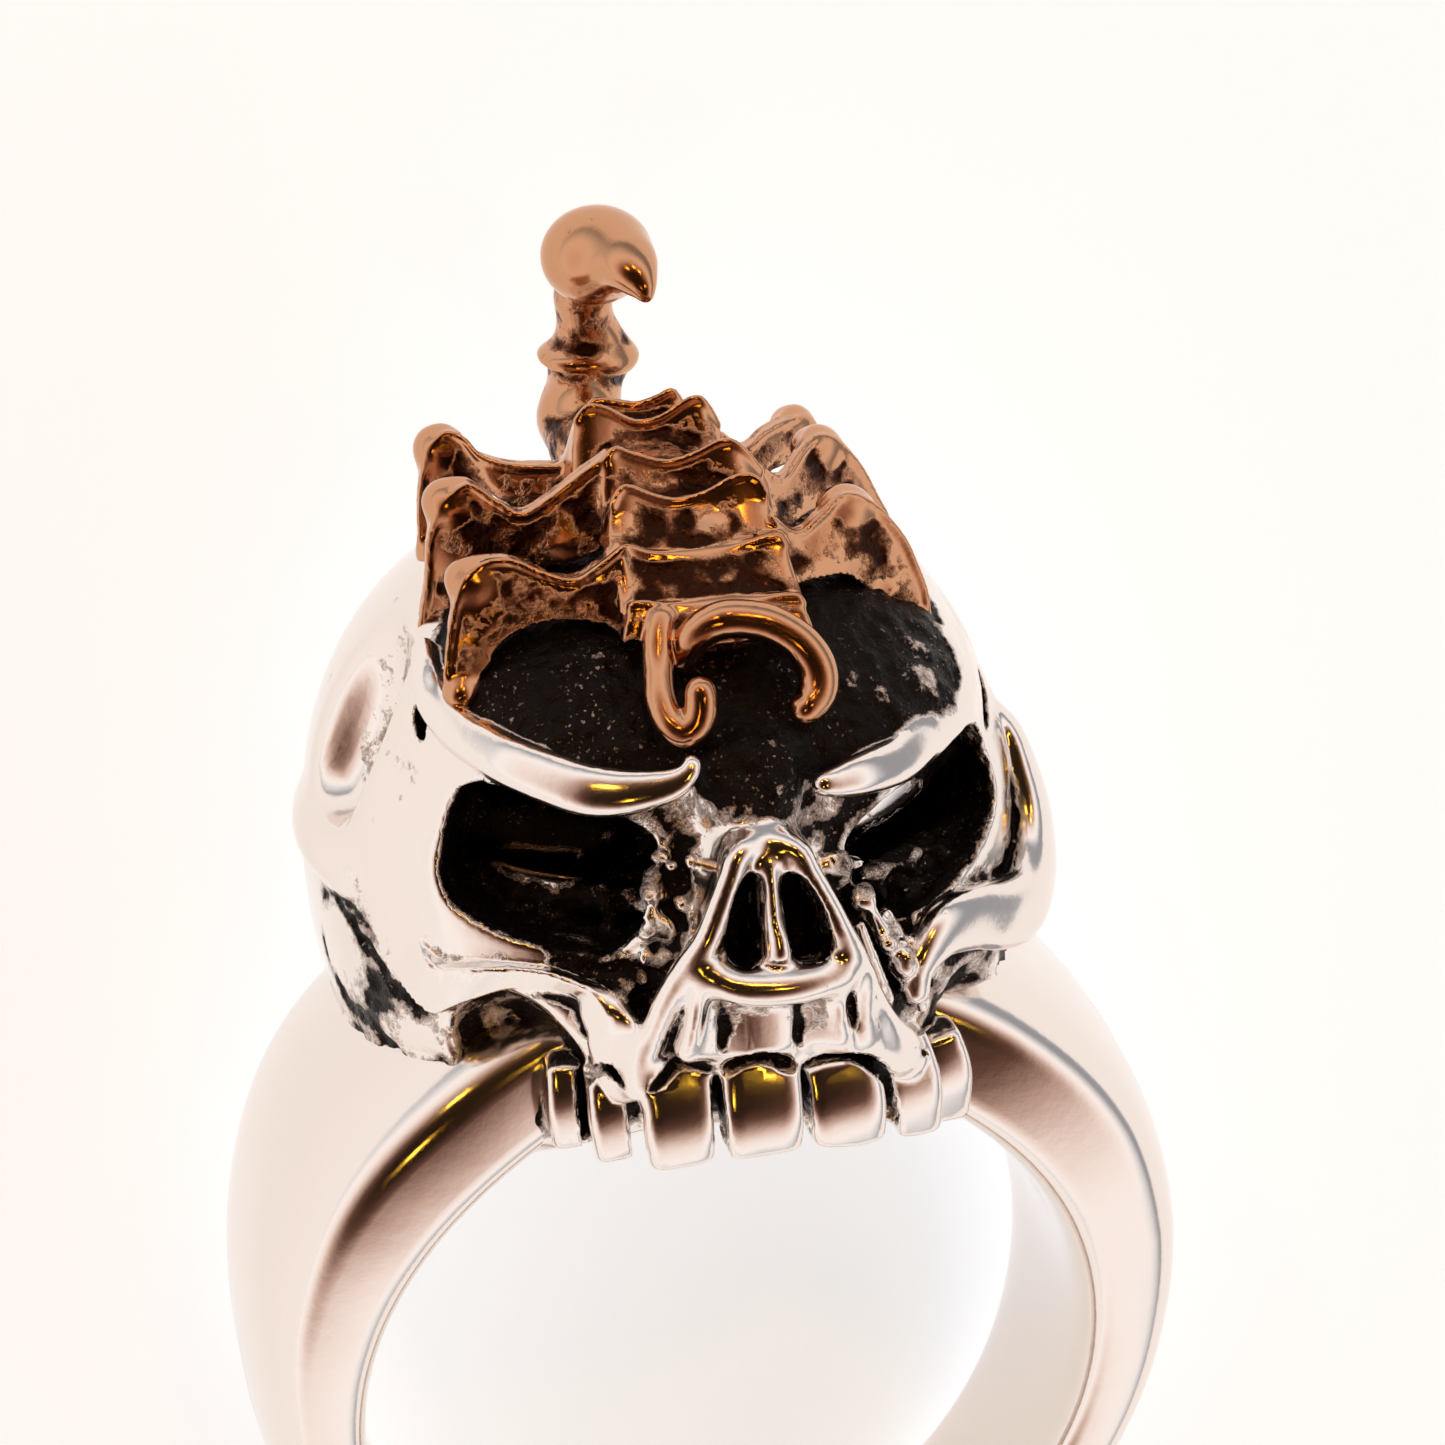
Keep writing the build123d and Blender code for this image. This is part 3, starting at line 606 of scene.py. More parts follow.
TEETH_GAPS = [
    [(-4.72, -6.6, 12.0, 0.12, 0.8), (-4.66, -6.4, 10.9, 0.12, 0.8), (-4.5, -6.2, 9.3, 0.14, 0.8)],
    [(-3.62, -7.9, 12.5, 0.16, 0.9), (-3.52, -7.8, 11.3, 0.22, 0.9), (-3.25, -7.7, 9.4, 0.22, 0.9)],
    [(-1.56, -9.0, 12.8, 0.11, 0.8), (-1.48, -9.0, 11.6, 0.15, 0.8), (-1.33, -8.9, 9.6, 0.16, 0.8)],
    [(0.8, -9.0, 12.7, 0.11, 0.8), (0.9, -8.95, 11.4, 0.14, 0.8), (1.1, -8.85, 9.5, 0.15, 0.8)],
    [(2.75, -8.7, 12.7, 0.1, 0.8), (3.3, -8.2, 11.7, 0.13, 0.8), (3.6, -7.9, 10.6, 0.14, 0.8),
     (3.75, -7.7, 9.2, 0.14, 0.8)],
    [(4.55, -7.0, 12.2, 0.12, 0.8), (4.9, -6.8, 11.0, 0.13, 0.8), (5.1, -6.5, 8.9, 0.14, 0.8)],
]
ARCHES = [
    [(-7.6, -8.6, 12.2, 2.0, 1.75), (-6.4, -5.9, 12.35, 1.95, 1.7), (-5.6, -4.5, 12.4, 1.4, 1.3)],
    [(8.6, -8.0, 11.6, 1.7, 1.9), (7.0, -5.6, 11.9, 1.65, 1.85), (6.2, -4.4, 12.1, 1.2, 1.4)],
]
TARNISH_AND_SHADE = [
    # x, y, z of the middle of a stained region, some of them painted shade, its radii and its stain
    (-10.4, -1.2, 13.3, 1.6, 2.2, 1.9, 0.62), (-8.9, -3.8, 12.4, 1.9, 1.6, 1.9, 0.72),
    (-6.4, -5.0, 12.2, 2.2, 1.6, 2.2, 0.55), (9.6, -1.6, 12.2, 1.7, 2.4, 2.2, 0.66),
    (8.2, -3.8, 11.8, 1.9, 1.7, 2.2, 0.75), (6.6, -5.0, 12.2, 1.8, 1.8, 2.4, 0.6),
    (-0.5, -2.4, 23.4, 7.2, 5.6, 2.6, 1.3), (-0.5, -4.6, 22.0, 7.2, 3.6, 1.3, 1.3),
    # The crown under the scorpion is stained both as oxide between the parts and as painted shade under its
    # legs
    (0.0, 2.5, 24.5, 6.0, 4.0, 1.6, 0.8), (-3.1, -7.4, 17.6, 0.9, 1.6, 2.6, 0.62),
    (3.0, -7.6, 17.2, 1.0, 1.6, 2.6, 0.62), (4.1, -7.2, 14.6, 0.8, 1.4, 1.2, 0.5),
    # The faint stain in the left temple hollow beside the frame's edge is painted shade
    (-9.6, 0.6, 18.8, 0.8, 1.5, 2.6, 0.1), (3.4, -5.7, 21.0, 3.0, 1.6, 0.9, 1.2),
]
PATCHES = [
    # x, y, z of the middle of a polished patch, its radii and its stain
    (-10.5, -1.0, 13.4, 0.7, 1.3, 1.25, 0.0), (-9.1, -3.5, 11.9, 0.85, 0.8, 0.6, 0.0),
    (-6.5, -4.8, 11.6, 0.6, 0.8, 0.85, 0.0), (9.3, -2.0, 10.8, 0.6, 0.9, 0.65, 0.05),
    (7.4, -4.0, 10.5, 0.75, 0.8, 0.5, 0.05), (4.0, -4.3, 22.0, 1.5, 1.5, 0.9, 0.62),
    (2.7, -4.8, 17.7, 1.1, 2.6, 0.7, 0.1), (4.3, -4.0, 18.0, 1.0, 2.4, 0.45, 0.2),
    (-5.8, -3.8, 17.0, 1.3, 1.6, 0.12, -0.2), (-10.2, 0.6, 17.8, 1.2, 2.0, 2.2, -0.5),
    (9.8, 0.8, 17.8, 1.2, 2.0, 2.2, -0.4), (-6.7, -3.6, 12.0, 0.8, 1.6, 0.9, 0.3),
    (7.6, -3.2, 11.6, 0.8, 1.6, 0.9, 0.3),
]
NOSE_BODY = [
    (-0.15, -7.5, 19.9, 0.6, 0.7), (-0.14, -7.6, 19.3, 1.0, 1.05), (-0.12, -7.7, 18.4, 1.35, 1.35),
    (-0.1, -7.8, 17.5, 1.7, 1.6), (-0.1, -7.8, 16.6, 2.0, 1.65), (0.0, -7.7, 15.6, 2.35, 1.45),
    (0.0, -7.7, 14.6, 2.75, 1.45), (0.05, -7.6, 13.6, 3.2, 1.55), (0.1, -7.5, 12.6, 3.6, 1.5),
    (0.2, -7.4, 11.8, 3.7, 1.4),
]
GLABELLA = [
    (-0.3, -6.6, 21.6, 1.2, 0.6), (-0.28, -6.95, 20.9, 1.4, 0.7), (-0.24, -7.4, 20.2, 1.25, 0.7),
    (-0.2, -7.85, 19.5, 0.9, 0.6),
]
LEDGES = [
    [(6.2, -3.7, 16.45, 0.08), (4.6, -5.1, 16.6, 0.09), (3.1, -6.1, 16.75, 0.07)],
    [(6.9, -3.4, 16.1, 0.08), (5.6, -4.6, 16.0, 0.1), (4.4, -5.6, 15.95, 0.08)],
]
STREAKS = [
    # ridges of raw silver beside the nose and above the right teeth
    [(2.5, -8.3, 16.6, 0.13, 0.14), (2.95, -8.2, 15.3, 0.16, 0.16), (3.45, -8.1, 14.0, 0.14, 0.14)],
    [(2.9, -7.7, 16.9, 0.12, 0.14), (3.5, -7.6, 15.4, 0.17, 0.18), (4.1, -7.4, 13.8, 0.14, 0.14)],
    [(3.5, -7.2, 16.3, 0.13, 0.14), (4.2, -7.0, 14.9, 0.17, 0.18), (4.8, -6.8, 13.2, 0.14, 0.14)],
]
BAND = [
    # degrees from the crown, wall, half width
    (20, 4.0, 5.2), (38, 4.2, 5.7), (55, 4.15, 5.6), (72, 3.6, 5.1), (92, 2.85, 4.4), (120, 2.3, 3.5),
    (150, 2.05, 2.9), (180, 2.0, 2.7),
]
BAND_CROWN = 0.5


def band_form(grow=0.0, rings=260):
    """The band: for each degree from the crown, down one side and up the other, a flat inner wall with
    rounded edges and a crowned outside. The outside is a squared oval: the half width times the cosine,
    and half the wall times the sine, of an angle, both raised to a power; inside it is flat."""
    half = np.array(BAND, float)
    at = np.linspace(0, 2, rings)
    folded = np.minimum(at, 2 - at)
    degrees, wall, half_width = spline(half, folded).T
    degrees = np.where(at > 1, 360 - degrees, degrees)
    angle = np.radians(degrees)
    outward = np.stack([np.sin(angle), np.zeros(rings), np.cos(angle)], axis=1)
    section = oval(0.42, 72)
    across = section[:, 0]
    out = (section[:, 1] + 1) / 2
    crown = BAND_CROWN * (1 - across**2) * (out > 0.5)
    shrink = np.where((at < 0.004) | (at > 1.996), 0.0, 1.0)[:, None]
    radius = FINGER_RADIUS + (out * (wall[:, None] - BAND_CROWN + grow) + crown) * shrink
    grid = outward[:, None] * radius[..., None]
    grid[..., 1] = across * (half_width[:, None] + grow) * shrink
    return skin(grid)


CRUMB_LINES = [
    # start, end, spread, smallest and largest radius, count and seed of a strewn line of lumps
    ((-2.4, -7.5, 18.6), (-3.0, -7.2, 15.9), 0.45, (0.1, 0.24), 20, 11),
    ((2.1, -7.5, 18.3), (3.3, -7.4, 15.6), 0.3, (0.1, 0.24), 12, 12),
    ((3.3, -7.7, 15.6), (4.7, -6.8, 13.2), 0.4, (0.1, 0.22), 16, 13),
    ((-7.0, -2.8, 16.0), (-3.6, -5.9, 16.0), 0.35, (0.1, 0.22), 9, 14),
    ((7.2, -2.6, 16.2), (3.8, -5.9, 16.2), 0.35, (0.1, 0.22), 9, 15),
]


def crumbs(start, end, spread, sizes, count, seed):
    """Small balls strewn along a line: an even place on the line plus a random shift within the spread,
    with random radii."""
    chance = np.random.default_rng(seed)
    share = (np.arange(count) + chance.uniform(0, 1, count))[:, None] / count
    shift = chance.uniform(-1, 1, (count, 3)) * spread
    middles = np.array(start) * (1 - share) + np.array(end) * share + shift
    all_radii = chance.uniform(*sizes, (count, 3))
    return [ball(middle, radii, count=16) for middle, radii in zip(middles, all_radii)]


# Left eye frame: its groove's place between crest and lip and its depth, where the bevel ends, the
# frame's thickness, the darkening under its lower edge, and the painted brown reflection along its bevel
GROOVE_PLACE = 0.45
GROOVE_DEPTH = 0.12
BEVEL_EDGE = 0.7
FRAME_THICKNESS = 1.4
PAINTED_REFLECTION_PLACE = 0.6
PAINTED_REFLECTION_RADIUS = 0.42
UNDER_CHEEK_RADIUS = 0.3


def build_left_frame(clay):
    """Presses the left eye frame on: a strip with a plate, a crest, a groove and a lip on its front,
    and its back the plate's and the lip's edges moved towards the middle of the head."""
    outer, crest, lip = (np.array(rail) for rail in (FRAME_LEFT_OUTER, FRAME_LEFT_CREST, FRAME_LEFT_LIP))
    under_cheek = outer[6:]
    clay.mark(bar(along(under_cheek, UNDER_CHEEK_RADIUS), ROUND), stain=0.85, edge=0.2)
    groove = crest * (1 - GROOVE_PLACE) + lip * GROOVE_PLACE
    groove += unit(HEART - groove) * GROOVE_DEPTH
    front = [outer, crest, groove, crest * (1 - BEVEL_EDGE) + lip * BEVEL_EDGE, lip]
    back = [rail + unit(HEART - rail) * FRAME_THICKNESS for rail in (lip, outer)]
    clay.add(ribbon(front + back), fillet=0.06, stain=-0.3)
    # Painted reflection: a brown tarnish stain between crest and lip stands in for the brown reflection on
    # the bevel
    painted_reflection_line = crest * (1 - PAINTED_REFLECTION_PLACE) + lip * PAINTED_REFLECTION_PLACE
    clay.mark(bar(along(painted_reflection_line, PAINTED_REFLECTION_RADIUS), ROUND), stain=0.85, edge=0.15)


def build_skull():
    """Presses the head together from its forms, cuts its hollows, stains it and casts it."""
    clay = Clay(*SKULL_CLAY, SKULL_VOXEL)
    clay.add(ball(*CRANIUM))
    clay.press([FOREHEAD], DOMED, fillet=0.6, up_from=BEHIND, blunt=0.1)
    clay.press([FACE_BLOCK], PLUMP, fillet=0.8, up_from=BEHIND)
    clay.add(band_form(), fillet=0.3)
    for rows, lean in SOCKETS:
        clay.carve([rows], FLAT, fillet=0.25, stain=1.35, keep=ball(*SOCKET_FLOOR), up_from=BELOW, lean=lean)
    clay.press(ROLLS, ROUND, fillet=0.3, stain=1.25)
    clay.carve(TEMPLES, ROUND, fillet=0.8)
    clay.press(CHEEK_ARCHES, ROUND, fillet=0.6)
    clay.carve(ARCHES, SOFT, fillet=0.35)
    for x, y, z, wide, deep, high, stain in TARNISH_AND_SHADE + PATCHES:
        clay.mark(ball((x, y, z), (wide, deep, high)), stain, edge=0.5)
    for line in CRUMB_LINES:
        for form in crumbs(*line):
            clay.add(form, fillet=0.4)
    clay.press(LEDGES, ROUND, fillet=0.25, stain=0.6)
    clay.press([GLABELLA], SOFT, fillet=0.9, stain=1.15)
    clay.press([NOSE_BODY], SOFT, fillet=0.3, stain=0.0, up_from=BEHIND)
    build_left_frame(clay)
    clay.press([FRAME_RIGHT], SOFT, fillet=0.12, stain=-0.3)
    clay.carve(WEDGES, ROUND, fillet=0.2, stain=1.0)
    clay.press([BROW_LEFT, BROW_RIGHT], SOFT, fillet=0.1, stain=-0.3)
    clay.press(ROOTS, ROUND, fillet=0.5, up_from=BEHIND)
    clay.press([WEB], FLAT, fillet=0.5, stain=-0.2, up_from=WEB_BEHIND)
    clay.carve(ROOT_GROOVES, ROUND, fillet=0.1, stain=0.8, edge=0.04, up_from=BEHIND)
    for x, y, z, *middle, x_tip, y_tip, z_tip, wide, deep in TEETH:
        swell = [(x, y, z, wide * ROOT_WIDTH, deep * ROOT_DEPTH), (*middle, wide, deep),
                 (x_tip, y_tip, z_tip, wide * TIP_WIDTH, deep * TIP_DEPTH)]
        behind = (x * TEETH_FAN, TEETH_BEHIND, z)
        clay.press([swell], SQUARE, fillet=0.06, stain=-0.3, up_from=behind, blunt=0.5)
    clay.carve(GUM_LINES + TEETH_GAPS, ROUND, fillet=0.06, stain=1.1, edge=0.07, up_from=BEHIND)
    clay.press([NOSE_RIM], ROUND, fillet=0.6, stain=-0.2)
    clay.press(STRUTS, ROUND, fillet=0.4, stain=-0.1)
    clay.press(STREAKS, ROUND, fillet=0.3, stain=0.3)
    clay.press([NOSE_SILL], ROUND, fillet=0.6, stain=0.0)
    clay.press([SEPTUM], ROUND, fillet=0.4, stain=0.0, up_from=BEHIND, blunt=0.5)
    clay.carve(NOSTRILS, PLUMP, fillet=0.1, stain=1.2, edge=0.03, up_from=BEHIND, blunt=0.22)
    bright_edge = [(*row[:3], 0.12, 0.5) for row in SEPTUM]
    clay.mark(bar(bright_edge, ROUND, BEHIND), stain=-0.3, edge=0.12)
    reach = FINGER_RADIUS + FINGER_CLEARANCE
    hollow = [(0, y, 0, reach) for y in (-20, 0, 20)]
    clay.cut(bar(hollow, oval(count=240), BELOW, blunt=0.1), fillet=0.2, stain=0.0)
    clay.trim(DRAFT_AXES[:, 2], FLOOR_CLEARANCE - FINGER_MIDDLE[2])
    clay.trim((0.0, 0.0, 1.0), LOWEST_TOOTH)
    return cast(clay, "skull", silver, reaches=(0.5, 1.6), rounds=4, seed=21,
                rough=(0.35, 0.65), grain=0.08, fine_grain=0.04, fine_seed=2, sunk=0.06)


# Scorpion, in drafting millimetres: the corners of its clay, how far a leg's back stands behind its
# front, how thick a bright rim is, and how far a plate spreads and its back stands behind its rim
SCORPION_CLAY = ((-8.4, -7.9, 20.4), (6.8, 11.0, 33.0))
LEG_DEPTH = np.array([0.0, 0.95, 0.0])
RIM_RADIUS = 0.085
PLATE_SPREAD = 0.06
PLATE_BACK = (0.0, 0.5, -0.25)
PLATE_FOOT = (0.0, 1.6, 0.0)

# Each leg's crest and lower edge in matched rows, from the foot or to it
LEGS = [
    ([(-7.6, -3.2, 22.4), (-7.35, -3.0, 24.0), (-7.0, -2.9, 25.0), (-6.4, -2.8, 25.5), (-5.7, -2.9, 25.55),
      (-4.9, -3.1, 25.2), (-4.1, -3.3, 25.0), (-3.5, -3.5, 25.4), (-2.7, -3.5, 26.0)],
     [(-7.1, -3.4, 21.8), (-6.7, -3.35, 22.4), (-6.4, -3.3, 22.8), (-6.1, -3.25, 23.3), (-5.7, -3.25, 23.6),
      (-5.0, -3.4, 23.9), (-4.2, -3.6, 24.0), (-3.5, -3.8, 23.9), (-2.7, -3.9, 23.8)]),
    ([(-7.6, 0.6, 22.2), (-7.4, 0.5, 23.6), (-7.25, 0.3, 25.3), (-6.4, 0.2, 26.5), (-5.6, 0.0, 26.1),
      (-4.9, -0.2, 25.7), (-4.1, -0.4, 26.2), (-3.2, -0.5, 26.9), (-2.4, -0.5, 27.4)],
     [(-6.9, 0.4, 21.5), (-6.5, 0.25, 22.9), (-6.2, 0.1, 23.7), (-5.8, 0.0, 24.2), (-5.3, -0.2, 24.3),
      (-4.6, -0.4, 24.2), (-3.8, -0.8, 24.4), (-3.1, -1.0, 24.7), (-2.5, -1.1, 25.0)]),
    ([(-6.9, 4.2, 23.1), (-6.9, 4.2, 24.4), (-6.7, 4.2, 25.6), (-6.2, 4.2, 26.4), (-5.7, 4.0, 26.3),
      (-5.3, 3.6, 25.9), (-4.6, 3.3, 25.7), (-3.9, 3.0, 25.7), (-3.1, 2.8, 25.8), (-2.7, 2.6, 26.7)],
     [(-6.4, 4.1, 22.6), (-6.1, 4.1, 23.4), (-5.9, 4.05, 24.2), (-5.6, 4.0, 24.8), (-5.3, 3.8, 24.9),
      (-4.9, 3.4, 24.7), (-4.4, 3.1, 24.5), (-3.8, 2.8, 24.5), (-3.2, 2.5, 24.5), (-2.7, 2.3, 24.6)]),
    ([(1.3, -2.9, 26.2), (2.1, -2.7, 25.5), (2.8, -2.4, 25.8), (3.6, -2.0, 26.2), (4.5, -1.8, 25.7),
      (5.3, -1.7, 24.7), (5.7, -1.7, 23.8), (6.0, -1.7, 22.9), (6.0, -1.8, 22.2)],
     [(1.6, -3.3, 24.1), (2.3, -3.0, 24.2), (2.9, -2.8, 24.2), (3.5, -2.6, 24.1), (4.0, -2.4, 23.7),
      (4.4, -2.2, 23.2), (4.8, -2.15, 22.6), (5.2, -2.05, 22.1), (5.6, -2.0, 21.7)]),
    ([(1.6, -0.4, 26.6), (2.4, 0.2, 25.9), (3.2, 1.0, 26.4), (3.8, 1.5, 26.5), (4.5, 1.8, 26.0),
      (5.1, 2.0, 25.2), (5.6, 2.2, 24.2), (5.9, 2.3, 23.6), (6.0, 2.3, 22.9)],
     [(1.7, -0.7, 24.6), (2.5, 0.0, 24.4), (3.0, 0.5, 24.5), (3.5, 1.0, 24.5), (4.0, 1.4, 24.2),
      (4.4, 1.6, 23.7), (4.9, 1.8, 23.1), (5.3, 2.0, 22.6), (5.6, 2.1, 22.2)]),
    ([(1.2, 2.6, 26.4), (2.0, 3.0, 25.7), (2.7, 3.5, 25.9), (3.5, 4.0, 26.0), (4.1, 4.5, 25.8),
      (4.5, 4.8, 25.3), (4.8, 5.1, 24.4), (4.9, 5.2, 23.7)],
     [(1.3, 2.4, 24.7), (2.0, 2.9, 24.5), (2.6, 3.3, 24.6), (3.2, 3.8, 24.7), (3.7, 4.2, 24.6),
      (4.0, 4.5, 24.2), (4.3, 4.8, 23.8), (4.5, 5.0, 23.3)]),
]
PLATES = [
    # a plate's rim from horn to horn, and how far forward and down its middle and its foot lie
    ([(-2.9, -2.3, 26.55), (-2.6, -2.05, 26.95), (-2.3, -2.0, 27.0), (-1.7, -2.0, 26.7), (-1.0, -2.0, 26.5),
      (-0.2, -2.0, 26.65), (0.4, -2.0, 26.95), (0.9, -2.0, 27.05), (1.2, -2.1, 26.9), (1.4, -2.3, 26.5)],
     (0.35, 0.6), (1.0, 1.3)),
    ([(-2.85, -3.3, 25.6), (-2.6, -3.2, 25.8), (-2.0, -3.2, 25.55), (-1.0, -3.2, 25.4), (-0.4, -3.2, 25.4),
      (0.3, -3.2, 25.5), (1.1, -3.2, 25.7), (1.5, -3.2, 25.7), (1.7, -3.3, 25.4)],
     (0.4, 0.5), (1.1, 1.2)),
    ([(-2.9, -4.5, 24.6), (-2.6, -4.5, 24.75), (-1.9, -4.5, 24.6), (-1.1, -4.5, 24.5), (-0.3, -4.5, 24.5),
      (0.6, -4.5, 24.5), (1.2, -4.5, 24.55), (1.7, -4.5, 24.5), (1.9, -4.5, 24.2)],
     (0.25, 0.35), (0.45, 0.9)),
    ([(-2.7, -0.6, 27.1), (-2.4, -0.5, 27.5), (-1.9, -0.5, 27.3), (-1.0, -0.5, 27.0), (-0.2, -0.5, 27.15),
      (0.5, -0.5, 27.45), (0.9, -0.5, 27.4), (1.3, -0.5, 27.0), (1.7, -0.5, 26.4)],
     (0.3, 0.6), (0.9, 1.8)),
    ([(-2.9, 2.5, 27.1), (-2.5, 2.5, 27.55), (-2.0, 2.5, 27.45), (-1.2, 2.5, 27.0), (-0.5, 2.5, 27.05),
      (0.2, 2.5, 27.45), (0.6, 2.5, 27.55), (0.9, 2.5, 27.2), (1.2, 2.5, 26.6)],
     (0.3, 0.6), (0.9, 1.8)),
    ([(-2.2, 4.5, 26.5), (-1.9, 4.5, 26.9), (-1.4, 4.5, 26.85), (-0.7, 4.5, 26.7), (-0.1, 4.5, 26.85),
      (0.3, 4.5, 27.0), (0.6, 4.5, 26.6)],
     (0.3, 0.5), (0.8, 1.6)),
]
KNEES = [
    # x, y, z of a knee and its radii
    (-6.7, -2.3, 24.9, 0.72, 0.72, 0.6), (-6.7, 0.8, 25.85, 0.74, 0.72, 0.66),
    (-6.35, 4.7, 25.8, 0.62, 0.66, 0.66), (3.7, -1.4, 25.6, 0.74, 0.72, 0.6),
    (3.8, 2.1, 25.95, 0.7, 0.7, 0.6), (3.8, 4.9, 25.5, 0.62, 0.62, 0.56),
]
FEET = [
    (-7.2, -3.2, 22.0, 0.5, 0.55, 0.5), (-7.2, 0.55, 21.9, 0.5, 0.55, 0.5),
    (-6.65, 4.2, 22.9, 0.4, 0.45, 0.45), (5.75, -1.85, 22.0, 0.45, 0.5, 0.5),
    (5.75, 2.25, 22.6, 0.45, 0.5, 0.5), (4.7, 5.15, 23.6, 0.4, 0.4, 0.45),
]
TRUNK = [
    (-0.6, -4.9, 23.4, 1.7, 0.7), (-0.6, -4.3, 23.7, 2.0, 0.9), (-0.6, -3.2, 24.2, 2.0, 1.1),
    (-0.7, -1.8, 24.8, 1.95, 1.4), (-0.7, -0.3, 25.0, 1.9, 1.5), (-0.8, 1.2, 25.0, 1.75, 1.5),
    (-0.85, 2.7, 25.0, 1.7, 1.5), (-0.8, 4.4, 24.9, 1.4, 1.4), (-1.2, 6.0, 24.6, 1.2, 1.2),
    (-1.6, 7.2, 24.6, 1.1, 1.0), (-1.5, 8.4, 25.2, 1.0, 0.9),
]
TAIL = [
    (-1.7, 7.2, 24.5, 1.35, 1.2), (-1.6, 8.1, 25.0, 1.25, 1.15), (-1.3, 8.9, 25.5, 1.15, 1.05),
    (-1.15, 9.2, 26.0, 1.25, 1.15), (-1.1, 9.2, 26.45, 1.5, 1.3), (-1.1, 9.2, 26.95, 1.05, 0.95),
    (-1.2, 9.1, 27.6, 0.82, 0.8), (-1.3, 8.9, 28.4, 0.86, 0.82), (-1.35, 8.6, 29.0, 0.9, 0.9),
]
STING = [
    (-1.35, 8.9, 28.7, 0.75, 0.6), (-1.3, 8.3, 29.6, 0.9, 0.8), (-1.0, 7.2, 30.2, 1.1, 1.0),
    (-0.8, 6.2, 30.4, 1.0, 0.9), (-0.62, 5.4, 30.3, 0.8, 0.7), (-0.45, 4.85, 30.0, 0.45, 0.45),
    (-0.35, 4.5, 29.65, 0.12, 0.12),
]
STING_BALL = ((-1.3, 7.3, 30.1), (1.5, 1.4, 1.38))
PINCER_LEFT = [
    (-1.9, -4.3, 24.5, 0.45), (-2.15, -4.8, 24.0, 0.45), (-2.3, -5.4, 23.3, 0.43),
    (-2.4, -6.1, 22.7, 0.43), (-2.25, -6.6, 22.2, 0.45), (-1.9, -6.85, 22.0, 0.48),
    (-1.55, -6.9, 22.3, 0.47), (-1.45, -6.8, 22.9, 0.45), (-1.55, -6.55, 23.4, 0.38),
]
PINCER_RIGHT = [
    (-1.7, -4.9, 22.9, 0.43), (-1.5, -5.1, 23.5, 0.47), (-1.2, -5.3, 24.1, 0.49),
    (-0.6, -5.45, 24.45, 0.52), (0.1, -5.55, 24.45, 0.52), (0.8, -5.7, 24.25, 0.52),
    (1.45, -5.95, 23.8, 0.52), (1.8, -6.25, 23.2, 0.54), (1.75, -6.55, 22.65, 0.54),
    (1.35, -6.75, 22.35, 0.52), (0.95, -6.75, 22.45, 0.45),
]


def blade(crest, lower):
    """A leg: its front runs from the crest to the lower edge and bulges a little forward between them,
    and its back stands a leg's depth behind it, less at the crest and more at the middle."""
    crest, lower = np.array(crest), np.array(lower)
    upper_front = crest * 0.7 + lower * 0.3 + (0, -0.05, 0)
    lower_front = crest * 0.35 + lower * 0.65 + (0, -0.1, 0)
    return ribbon([crest, upper_front, lower_front, lower,
                   lower + LEG_DEPTH, (crest + lower) / 2 + LEG_DEPTH * 1.1, crest + LEG_DEPTH * 0.6])


def plate(rim, middle, foot):
    """A plate of the body: its front runs from the rim forward and down to its middle and its foot,
    spreading a share of its width each time, and its back stands behind the foot and the rim."""
    rim = np.array(rim)
    spread = (rim[:, :1] - rim[:, :1].mean()) * (PLATE_SPREAD, 0, 0)
    front = [rim + spread * k - (0, *drop) for k, drop in enumerate((middle, foot), 1)]
    return ribbon([rim, *front, front[1] + PLATE_FOOT, rim + PLATE_BACK])


def build_scorpion():
    """Presses the scorpion together from its trunk, legs, plates, tail and pincers and casts it."""
    clay = Clay(*SCORPION_CLAY, SCORPION_VOXEL)
    clay.press([TRUNK], SOFT, fillet=0.3, stain=0.5)
    for crest, lower in LEGS:
        clay.add(blade(crest, lower), fillet=0.3, stain=0.6)
    for row in PLATES:
        clay.add(plate(*row), fillet=0.3, stain=0.42)
    for x, y, z, *radii in KNEES + FEET:
        clay.add(ball((x, y, z), radii), fillet=0.35, stain=-0.4)
    rims = [along(row[0], RIM_RADIUS) for row in LEGS + PLATES]
    clay.press(rims, ROUND, fillet=0.12, stain=-0.6)
    clay.press([TAIL], ROUND, fillet=0.3, stain=0.3)
    clay.add(ball(*STING_BALL), fillet=0.3, stain=0.1)
    clay.press([STING], ROUND, fillet=0.6, stain=-0.3)
    clay.press([PINCER_LEFT, PINCER_RIGHT], ROUND, fillet=0.1, stain=-0.3)
    piece = cast(clay, "scorpion_cast", bronze, reaches=(0.35, 1.0), rounds=3, seed=31,
                 rough=(0.2, 0.55), grain=0.06, fine_grain=0.045, fine_seed=4, sunk=0.03)
    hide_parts("scorpion")
    return piece


def linear(colour, alpha=1.0):
    """The linear colour of an sRGB hex value."""
    parts = [int(colour[k:k + 2], 16) / 255 for k in (1, 3, 5)]
    return tuple(p / 12.92 if p <= 0.04045 else ((p + 0.055) / 1.055) ** 2.4 for p in parts) + (alpha,)


def node(tree, kind, settings=None, out=0, **inputs):
    """Adds a shader node and gives back one of its outputs, or the node itself where out is None.
    Settings are its own properties; inputs are values or sockets by name, with underscores for
    spaces, or by number after an underscore."""
    made = tree.nodes.new("ShaderNode" + kind)
    for name, value in (settings or {}).items():
        setattr(made, name, value)
    for name, value in inputs.items():
        key = int(name[1:]) if name[0] == "_" else name.replace("_", " ")
        if isinstance(value, bpy.types.NodeSocket):
            tree.links.new(value, made.inputs[key])
        else:
            made.inputs[key].default_value = value
    return made if out is None else made.outputs[out]


